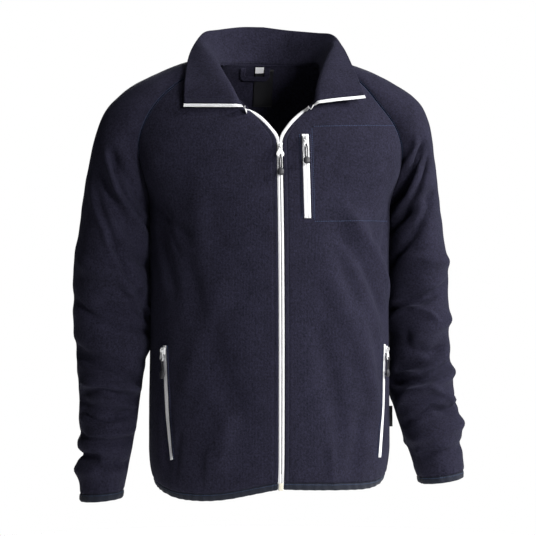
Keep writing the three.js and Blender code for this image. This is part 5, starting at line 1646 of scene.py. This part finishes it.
# Zips that lie on the fronts
POCKET_ZIP_LIFT = 0.5
POCKET_ZIP_WALL = 1.0
ZIP_PATH_STEP = 3.0
SIDE_ZIP = table("at x z", (0.0, 181, -470), (0.5, 177.5, -565), (1.0, 170, -655))
SIDE_ZIP_WIDE = 8.0
CHEST_ZIP = table("at x z", (0.0, 42, -128), (1.0, 43.5, -264))
CHEST_ZIP_WIDE = 11.0
TAPE_PLACES = (-0.5, -0.4, -0.28, -0.18, -0.1, -0.03, 0, 0.03, 0.1, 0.18, 0.28, 0.4, 0.5)
# Panel, line, side and width of each zip
POCKET_ZIPS = {
    "chest": ("front_left", CHEST_ZIP, 1, CHEST_ZIP_WIDE),
    "pocket_right": ("front_right", SIDE_ZIP, -1, SIDE_ZIP_WIDE),
    "pocket_left": ("front_left", SIDE_ZIP, 1, SIDE_ZIP_WIDE),
}
# Two coils rise beside the middle, where the tapes part along a fine groove
POCKET_COIL_AT, POCKET_COIL_WIDTH, POCKET_COIL_RISE = 1.5, 0.8, 0.4
PARTING_WIDTH, PARTING_DEPTH = 0.35, 0.5
# The smallest side that a sheet states, in metres
WELT_WIDE = 5.0
WELT_OVERLAP = 0.4
WELT_COLUMNS = 9
WELT_END, WELT_BASE, WELT_END_SHARE = -0.6, -1.2, 8.0
WELT_PROFILE = table(
    "at height", (0.0, -0.8), (0.12, 0.5), (0.35, 1.25), (0.65, 0.8), (0.9, 0.1), (1.0, -0.4),
)


def strip_on(cloth, path, shares, columns=slice(None)):
    """A strip along a path of x and z on a sheet. The shares are its columns' places across."""
    middle, faces = cloth.at(path[:, 0], path[:, 1], columns)
    across = unit(np.cross(faces, unit(np.gradient(middle, axis=0))))
    shares = np.asarray(shares)[None, :]
    xs = path[:, :1] + across[:, :1] * shares
    zs = path[:, 1:] + across[:, 2:] * shares
    points, normals = cloth.at(xs.ravel(), zs.ravel(), columns)
    shape = xs.shape + (3,)
    return Cloth(points.reshape(shape), None, normals.reshape(shape))


def zip_path(rows, side):
    """The line of a pocket zip, as x and z."""
    count = int(abs(rows["z"][-1] - rows["z"][0]) / ZIP_PATH_STEP)
    at = np.linspace(0, 1, count)
    return np.stack([side * read(rows, "x", at), read(rows, "z", at)], -1)


class JACKET_OT_pocket_zips(bpy.types.Operator):
    """Build the zips of the chest and hand pockets, each between its turned edges"""

    bl_idname = "jacket.pocket_zips"
    bl_label = "Pocket Zips"

    def execute(self, context):
        for name, (panel_name, rows, side, wide) in POCKET_ZIPS.items():
            cloth = garment()[panel_name]
            path = zip_path(rows, side)
            shares = np.array(TAPE_PLACES) * wide
            tape = strip_on(cloth, path, shares)
            from_middle = np.abs(shares)[None, :]
            ridge = POCKET_COIL_RISE * bell(from_middle, POCKET_COIL_AT, POCKET_COIL_WIDTH)
            ridge = ridge - PARTING_DEPTH * bell(from_middle, 0.0, PARTING_WIDTH)
            lift = POCKET_ZIP_LIFT + POCKET_ZIP_WALL
            bm = sheet_mesh(tape.raised(lift + ridge), tape.raised(POCKET_ZIP_LIFT))
            piece = make_object(f"{name}_zip_tape", bm, finish("tape"))
            dress(piece, "zip_tape", f"{name}_zip")
            welts = [self.add_welt(name, cloth, path, wide, across) for across in (-1, 1)]
        return {"FINISHED"}

    def add_welt(self, name, cloth, path, wide, across):
        """The turned fleece edge along one side of a pocket's zip."""
        at = np.linspace(0, 1, WELT_COLUMNS)
        shares = across * (wide / 2 - WELT_OVERLAP + WELT_WIDE * at)
        strip = strip_on(cloth, path, shares)
        ends = np.sin(np.linspace(0, math.pi, len(path)))[:, None]
        height = read(WELT_PROFILE, "height", at)[None, :] + POCKET_ZIP_LIFT
        height = mix(WELT_END, height, smooth(ends * WELT_END_SHARE))
        bm = sheet_mesh(strip.raised(height), strip.raised(WELT_BASE))
        piece = make_object(f"{name}_zip_edge_{'left' if across > 0 else 'right'}", bm, finish("fleece"))
        dress(piece, "fleece")
        return piece


# Sliders and pulls
PULL_NODES = ("main", "chest", "pocket_right", "pocket_left")
CORD_RADIUS = 1.0
CORD_STEPS, CORD_SIDES = 44, 10
GRIP_DEEP = 0.55
GRIP_GROOVES, GROOVE_DEPTH, GROOVE_WIDTH = (0.38, 0.6), 0.28, 0.045
GRIP_RINGS, GRIP_STEPS = 22, 28
SLIDER_BEVEL, TAB_BEVEL, BOX_BEVEL = 0.35, 0.25, 0.8
# Corners flatter than the first angle are smoothed away, and those sharper than the second rounded
FLAT_ANGLE, SHARP_ANGLE = math.radians(3), math.radians(35)
CAST_SHARP_ANGLE, MOULDED_SHARP_ANGLE = math.radians(40), math.radians(50)
GRIP_PROFILE = table(
    "at radius", (0.0, 0.0), (0.03, 0.5), (0.16, 0.85), (0.45, 1.0), (0.7, 0.92), (0.92, 0.6), (1.0, 0.38)
)
TAB_HOLE = 1.6
TAB_BELOW_HOLE = 2.4
CORD_BEND = 2.1
CORD_ASIDE = 1.7
PULL_SIZES = {
    "main": {"tab": 20.0, "cord": 16.0, "wide": 11.0, "tall": 13.0},
    "chest": {"tab": 15.0, "cord": 16.0, "wide": 11.0, "tall": 12.0},
    "pocket_right": {"tab": 18.0, "cord": 15.0, "wide": 11.0, "tall": 13.0},
    "pocket_left": {"tab": 18.0, "cord": 15.0, "wide": 11.0, "tall": 13.0},
}


def hinge_matrix(name):
    """The place of a pull's hinge, with x across, y inward and z up along the zip."""
    joint = next(row for row in frame["joints"] if row["child"] == f"{name}_pull")
    pivot, across = Vector(joint["pos_m"]), -Vector(joint["axis"]).normalized()
    vertices = frame["nodes"][f"{name}_tab"].data.vertices
    low = sum((vert.co for vert in vertices), Vector()) / len(vertices) - pivot
    up = -(low - across * low.dot(across)).normalized()
    inward = up.cross(across)
    return Matrix((across, inward, up)).transposed().to_4x4(), pivot


def bevelled_copy(node, width_mm):
    """A CAD node's mesh with its corners merged and its sharp edges rounded."""
    bm = bmesh.new()
    bm.from_mesh(frame["nodes"][node].data)
    bmesh.ops.remove_doubles(bm, verts=bm.verts, dist=SAME_PLACE)
    bmesh.ops.dissolve_limit(bm, angle_limit=FLAT_ANGLE, verts=bm.verts, edges=bm.edges)
    sharp = [edge for edge in bm.edges if edge.calc_face_angle(0) > SHARP_ANGLE]
    bmesh.ops.bevel(
        bm, geom=sharp, offset=width_mm * MM, segments=2, profile=0.5, affect="EDGES", material=-1,
        clamp_overlap=True,
    )
    return bm


def cord_route(tab, cord, tall):
    """The loop of cord through the hole of a tab, down into the grip."""
    hole = -tab + TAB_HOLE + TAB_BELOW_HOLE
    grip_top = -tab - cord
    # One half of the loop: through the hole, round the tab's edge and down into the grip
    half = np.array([
        (0, 0, hole),
        (0.1, -CORD_BEND, hole - 0.9),
        (0.9, -CORD_BEND, hole - 3.4),
        (CORD_ASIDE, -0.8, hole - 8),
        (CORD_ASIDE, -0.3, grip_top + 2),
        (CORD_ASIDE * 0.8, 0, grip_top - tall * 0.3),
    ])
    other = (half[1:] * np.array([-1, -1, 1]))[::-1]
    points = np.concatenate([other, half])
    rows = {axis: points[:, i] for i, axis in enumerate("xyz")}
    rows["at"] = np.concatenate([[0], np.cumsum(np.linalg.norm(np.diff(points, axis=0), axis=-1))])
    return points_at(rows, np.linspace(0, rows["at"][-1], CORD_STEPS))


def grip_mesh(wide, tall, top):
    """The moulded grip: a turned, flattened drop with two finger grooves."""
    at = np.linspace(0, 1, GRIP_RINGS)
    radius = read(GRIP_PROFILE, "radius", at) * wide / 2
    for groove in GRIP_GROOVES:
        radius -= GROOVE_DEPTH * bell(at, groove, GROOVE_WIDTH)
    bm = bmesh.new()
    line = [bm.verts.new((r * MM, 0, (top - tall + a * tall) * MM)) for r, a in zip(radius, at)]
    edges = [bm.edges.new(pair) for pair in zip(line, line[1:])]
    bmesh.ops.spin(
        bm, geom=line + edges, cent=(0, 0, 0), axis=(0, 0, 1), angle=2 * math.pi, steps=GRIP_STEPS,
        use_merge=True,
    )
    bmesh.ops.remove_doubles(bm, verts=bm.verts, dist=SAME_PLACE)
    bmesh.ops.holes_fill(bm, edges=bm.edges, sides=0)
    bmesh.ops.scale(bm, vec=(1, GRIP_DEEP, 1), verts=bm.verts)
    bmesh.ops.recalc_face_normals(bm, faces=bm.faces)
    return bm


class JACKET_OT_pulls(bpy.types.Operator):
    """Build the sliders, the pull tabs and the cord pulls"""

    bl_idname = "jacket.pulls"
    bl_label = "Sliders and Pulls"

    def execute(self, context):
        for name in PULL_NODES:
            for part, bevel, body in (("slider", SLIDER_BEVEL, BODY), ("tab", TAB_BEVEL, f"{name}_pull")):
                node = f"{name}_{part}"
                piece = make_object(f"{node}_cast", bevelled_copy(node, bevel), finish("enamel"))
                piece.data.set_sharp_from_angle(angle=CAST_SHARP_ANGLE)
                dress(piece, "slider_enamel", node, body=body)
            self.add_cord_pull(name)
        return {"FINISHED"}

    def add_cord_pull(self, name):
        """The cord loop and the grip of one pull."""
        sizes = PULL_SIZES[name]
        turn, pivot = hinge_matrix(name)
        place = Matrix.Translation(pivot) @ turn
        top = -sizes["tab"] - sizes["cord"]
        route = cord_route(sizes["tab"], sizes["cord"], sizes["tall"])
        loop = tube_mesh(route, CORD_RADIUS, CORD_SIDES)
        grip = grip_mesh(sizes["wide"], sizes["tall"], top)
        for part, bm, material in (("cord", loop, finish("cord")), ("grip", grip, finish("grip"))):
            bmesh.ops.transform(bm, matrix=place, verts=bm.verts)
            piece = make_object(f"{name}_{part}", bm, material)
            replaced = [f"{name}_cord_pull"] if part == "grip" else []
            dress(piece, "cord", *replaced, body=f"{name}_pull")


class JACKET_OT_zip_box(bpy.types.Operator):
    """Build the moulded box at the foot of the main zip"""

    bl_idname = "jacket.zip_box"
    bl_label = "Zip Box"

    def execute(self, context):
        piece = make_object("zip_box_moulded", bevelled_copy("zip_box", BOX_BEVEL), finish("box"))
        piece.data.set_sharp_from_angle(angle=MOULDED_SHARP_ANGLE)
        dress(piece, "cream_plastic", "zip_box")
        return {"FINISHED"}


# Labels and the hanging loop
NECK_LABEL = {"x": 0.5, "wide": 34.0, "top": -1.0, "bottom": -64.0, "lift": 0.5, "wall": 0.8}
SIZE_LABEL = {"x": -8.0, "wide": 15.0, "top": 3.0, "bottom": -7.0, "lift": 1.6, "wall": 0.8}
HANGING_LOOP = {"left": -38.0, "right": 6.0, "top": 1.0, "bottom": -16.0, "corner": 6.0}
LOOP_WIDE = 9.0
LOOP_LIFT = 2.2
LOOP_WALL = 1.2
LOOP_CORNER_STEPS = 8
# Labels are placed on the back without one of this many parts of it at each side
BACK_PARTS = 5
LABEL_ROWS, LABEL_COLUMNS, LOOP_COLUMNS, SIDE_LABEL_COLUMNS = 16, 15, 9, 9
# The middle of a strip is thinner than its folded edges, which round off at the very end
STRIP_MIDDLE, STRIP_FOLD_POWER, STRIP_END_DROP, STRIP_END_POWER = 0.45, 3, 0.5, 20
SIDE_LABEL_REACH = 8.0
SIDE_LABEL_TUCK = 2.5
SIDE_LABEL_HALF, SIDE_LABEL_FOLD_POWER, SIDE_LABEL_LEAST = 0.5, 8, 0.05
SIDE_LABEL_BEND, SIDE_LABEL_WAVE, SIDE_LABEL_CALM_Z = 0.5, 12, -600
BEHIND_LABEL = (0, 10, 0)


def loop_path():
    """The line of the hanging loop, as x and z."""
    left, right, top, bottom, corner = HANGING_LOOP.values()

    def turn(x, start):
        angles = np.radians(np.linspace(start, start + 90, LOOP_CORNER_STEPS))
        return np.stack([x + corner * np.cos(angles), bottom + corner + corner * np.sin(angles)], -1)

    legs = [np.array([[left, top], [left, (top + bottom + corner) / 2]]), turn(left + corner, 180)]
    legs += [np.array([[(left + right) / 2, bottom]]), turn(right - corner, 270), np.array([[right, top]])]
    return np.concatenate(legs)


def rounded_strip(strip, lift, wall):
    """A thin strip on the inner side of the back, with its long edges folded round."""
    across = np.abs(np.linspace(-1, 1, strip.grid.shape[1]))[None, :]
    middle = -(FLEECE_WALL + lift + wall / 2)
    half = wall / 2 * (STRIP_MIDDLE + (1 - STRIP_MIDDLE) * across**STRIP_FOLD_POWER)
    half = half * (1 - STRIP_END_DROP * across**STRIP_END_POWER)
    return sheet_mesh(strip.raised(middle + half), strip.raised(middle - half), strip.grid.shape[1] // 2)


class JACKET_OT_labels(bpy.types.Operator):
    """Build the bare labels and the hanging loop"""

    bl_idname = "jacket.labels"
    bl_label = "Labels and Loop"

    def execute(self, context):
        back = garment()["back"]
        count = back.grid.shape[1]
        columns = slice(count // BACK_PARTS, -count // BACK_PARTS)
        for node, sizes, material, slot in (
            ("neck_label", NECK_LABEL, "black_label", "label"),
            ("size_label", SIZE_LABEL, "white_label", "zip_tape"),
        ):
            zs = np.linspace(sizes["top"], sizes["bottom"], LABEL_ROWS)
            path = np.stack([np.full_like(zs, sizes["x"]), zs], -1)
            shares = np.linspace(-0.5, 0.5, LABEL_COLUMNS) * sizes["wide"]
            strip = strip_on(back, path, shares, columns)
            bm = rounded_strip(strip, sizes["lift"], sizes["wall"])
            piece = make_object(f"{node}_woven", bm, finish(material))
            dress(piece, slot, node)
        shares = np.linspace(-0.5, 0.5, LOOP_COLUMNS) * LOOP_WIDE
        strip = strip_on(back, loop_path(), shares, columns)
        bm = rounded_strip(strip, LOOP_LIFT, LOOP_WALL)
        piece = make_object("hanging_loop_strip", bm, finish("fleece"))
        dress(piece, "fleece", "hanging_loop")
        self.add_side_label()
        return {"FINISHED"}

    def add_side_label(self):
        """The folded label in the side seam."""
        low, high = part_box("side_label")
        xs = np.linspace(low[0] - SIDE_LABEL_TUCK * MM, high[0], SIDE_LABEL_COLUMNS)[None, :] / MM
        zs = np.linspace(high[2], low[2], LABEL_COLUMNS)[:, None] / MM
        folded = (xs - low[0] / MM) / SIDE_LABEL_REACH
        wave = np.sin((zs - SIDE_LABEL_CALM_Z) / SIDE_LABEL_WAVE)
        bend = SIDE_LABEL_BEND * np.sin(folded * math.pi / 2) * wave
        grid = np.stack([xs + 0 * zs, bend + 0 * xs, zs + 0 * xs], -1)
        strip = Cloth(grid, grid + np.array(BEHIND_LABEL))
        fold = np.clip(folded, 0, 1) ** SIDE_LABEL_FOLD_POWER
        half = SIDE_LABEL_HALF * np.sqrt(np.maximum(SIDE_LABEL_LEAST, 1 - fold)) + 0 * zs
        bm = sheet_mesh(strip.raised(half), strip.raised(-half))
        piece = make_object("side_label_woven", bm, finish("black_label"))
        dress(piece, "label", "side_label")


# Sewing
# Stitches round the chest pocket's bag: x and z of both ends of each line
CHEST_POCKET_LINES = (
    ((54.0, -118.0), (55.5, -268.0)),
    ((57.0, -114.5), (219.0, -107.0)),
    ((55.0, -269.0), (191.0, -266.0)),
)
LINE_POINTS = 40
# Stitches run this far beside a pocket's zip, and stand on its turned edge
ZIP_EDGE_STITCH = 3.7
STITCH_ON_WELT = 0.6
# Stitches on collar and bindings sink in this far, and are long by this share of their pitch
STITCH_SINK = 0.4
STITCH_SHARE = 0.38


class JACKET_OT_sewing(bpy.types.Operator):
    """Sew the seams: stitches along the zip, the raglan seams, the collar, the hem and the pockets"""

    bl_idname = "jacket.sewing"
    bl_label = "Sewing"

    def execute(self, context):
        sizes = context.scene.jacket_sizes
        self.pitch = sizes.stitch_pitch / MM
        self.size = (self.pitch * STITCH_SHARE, sizes.thread / MM / 2, sizes.thread / MM / 2)
        self.sew("stitches_zip", self.zip_lines(), "dark_thread")
        self.sew("stitches_raglan", self.raglan_lines(), "thread")
        self.sew("stitches_collar", self.collar_lines(), "dark_thread")
        self.sew("stitches_bindings", self.binding_lines(), "thread")
        self.sew("stitches_pockets", self.pocket_lines(), "thread")
        return {"FINISHED"}

    def sew(self, name, lines, thread):
        """One object for all the stitches of a group of lines."""
        places = [places_along(points, normals, self.pitch, self.size) for points, normals in lines]
        piece = scatter(name, bead(), np.concatenate(places), finish(thread))
        dress(piece, "fleece")

    def zip_lines(self):
        """Both rows of stitches beside the main zip."""
        return [panel(f"front_{name}").edge(ZIP_STITCH_AT) for name in SIDES]

    def raglan_lines(self):
        """A row of stitches on both sides of each raglan seam."""
        top = slice(1, len(raglan_ats()) - 1)
        lines = []
        for name, side in SIDES.items():
            sleeve, front, back = (
                garment()[key].cut(top) for key in (f"sleeve_{name}", f"front_{name}", "back")
            )
            lines.append(front.edge(SEAM_STITCH_AT, from_last=True))
            lines.append(sleeve.edge(SEAM_STITCH_AT))
            lines.append(sleeve.edge(SEAM_STITCH_AT, from_last=True))
            lines.append(back.edge(SEAM_STITCH_AT, from_last=side > 0))
        return lines

    def collar_lines(self):
        """Stitches through the collar, along its ends and its neck seam, seen from both sides."""
        collar = garment()["collar"]
        lines = []
        for face in (-1, 1):
            for points, normals in (
                collar.edge(ZIP_STITCH_AT),
                collar.edge(ZIP_STITCH_AT, from_last=True),
                collar.edge(COLLAR_SEAM_STITCH_AT, axis=0),
            ):
                lines.append((points + normals * face * (COLLAR_WALL / 2 - STITCH_SINK), normals * face))
        return lines

    def binding_lines(self):
        """Stitches near the upper edge of each binding."""
        lines = []
        for strip in (hem_strip(), binding_of("sleeve_right"), binding_of("sleeve_left")):
            points, normals = strip.edge(BINDING_STITCH_AT, axis=0)
            lines.append((points + normals * (BINDING_PROUD - STITCH_SINK), normals))
        return lines

    def pocket_lines(self):
        """Stitches along the edges of the pocket zips and round the chest pocket's bag."""
        lines = []
        for panel_name, rows, side, wide in POCKET_ZIPS.values():
            path = zip_path(rows, side)
            for across in (-1, 1):
                shares = [across * (wide / 2 + ZIP_EDGE_STITCH), across * wide]
                strip = strip_on(garment()[panel_name], path, shares)
                points, normals = strip.grid[:, 0], strip.normals[:, 0]
                lines.append((points + normals * STITCH_ON_WELT, normals))
        for start, end in CHEST_POCKET_LINES:
            path = mix(np.array(start), np.array(end), np.linspace(0, 1, LINE_POINTS)[:, None])
            lines.append(garment()["front_left"].at(path[:, 0], path[:, 1]))
        return lines


OPERATORS = (
    JACKET_OT_stage,
    JACKET_OT_panels,
    JACKET_OT_collar,
    JACKET_OT_bindings,
    JACKET_OT_main_zip,
    JACKET_OT_pocket_zips,
    JACKET_OT_pulls,
    JACKET_OT_zip_box,
    JACKET_OT_labels,
    JACKET_OT_sewing,
)
GROUPS = (JACKET_PG_sizes, JACKET_PG_light)


class JACKET_PT_sidebar(bpy.types.Panel):
    """Lists the pieces of the jacket"""

    bl_label = "Fleece Zip Jacket"
    bl_idname = "JACKET_PT_sidebar"
    bl_space_type = "VIEW_3D"
    bl_region_type = "UI"
    bl_category = "Jacket"

    def draw(self, context):
        for name in ("jacket_sizes", "jacket_light"):
            group = getattr(context.scene, name)
            for key in group.bl_rna.properties.keys():
                if key not in ("rna_type", "name"):
                    self.layout.prop(group, key)
        for operator in OPERATORS:
            self.layout.operator(operator.bl_idname)


def register():
    """Registers the classes and the scene's settings."""
    for cls in GROUPS + OPERATORS + (JACKET_PT_sidebar,):
        bpy.utils.register_class(cls)
    bpy.types.Scene.jacket_sizes = bpy.props.PointerProperty(type=JACKET_PG_sizes)
    bpy.types.Scene.jacket_light = bpy.props.PointerProperty(type=JACKET_PG_light)


def unregister():
    """Takes the classes and settings off again."""
    del bpy.types.Scene.jacket_light
    del bpy.types.Scene.jacket_sizes
    for cls in reversed(GROUPS + OPERATORS + (JACKET_PT_sidebar,)):
        bpy.utils.unregister_class(cls)


def main():
    """Builds the whole jacket."""
    register()
    for operator in OPERATORS:
        group, name = operator.bl_idname.split(".")
        getattr(getattr(bpy.ops, group), name)()


if __name__ == "__main__":
    main()
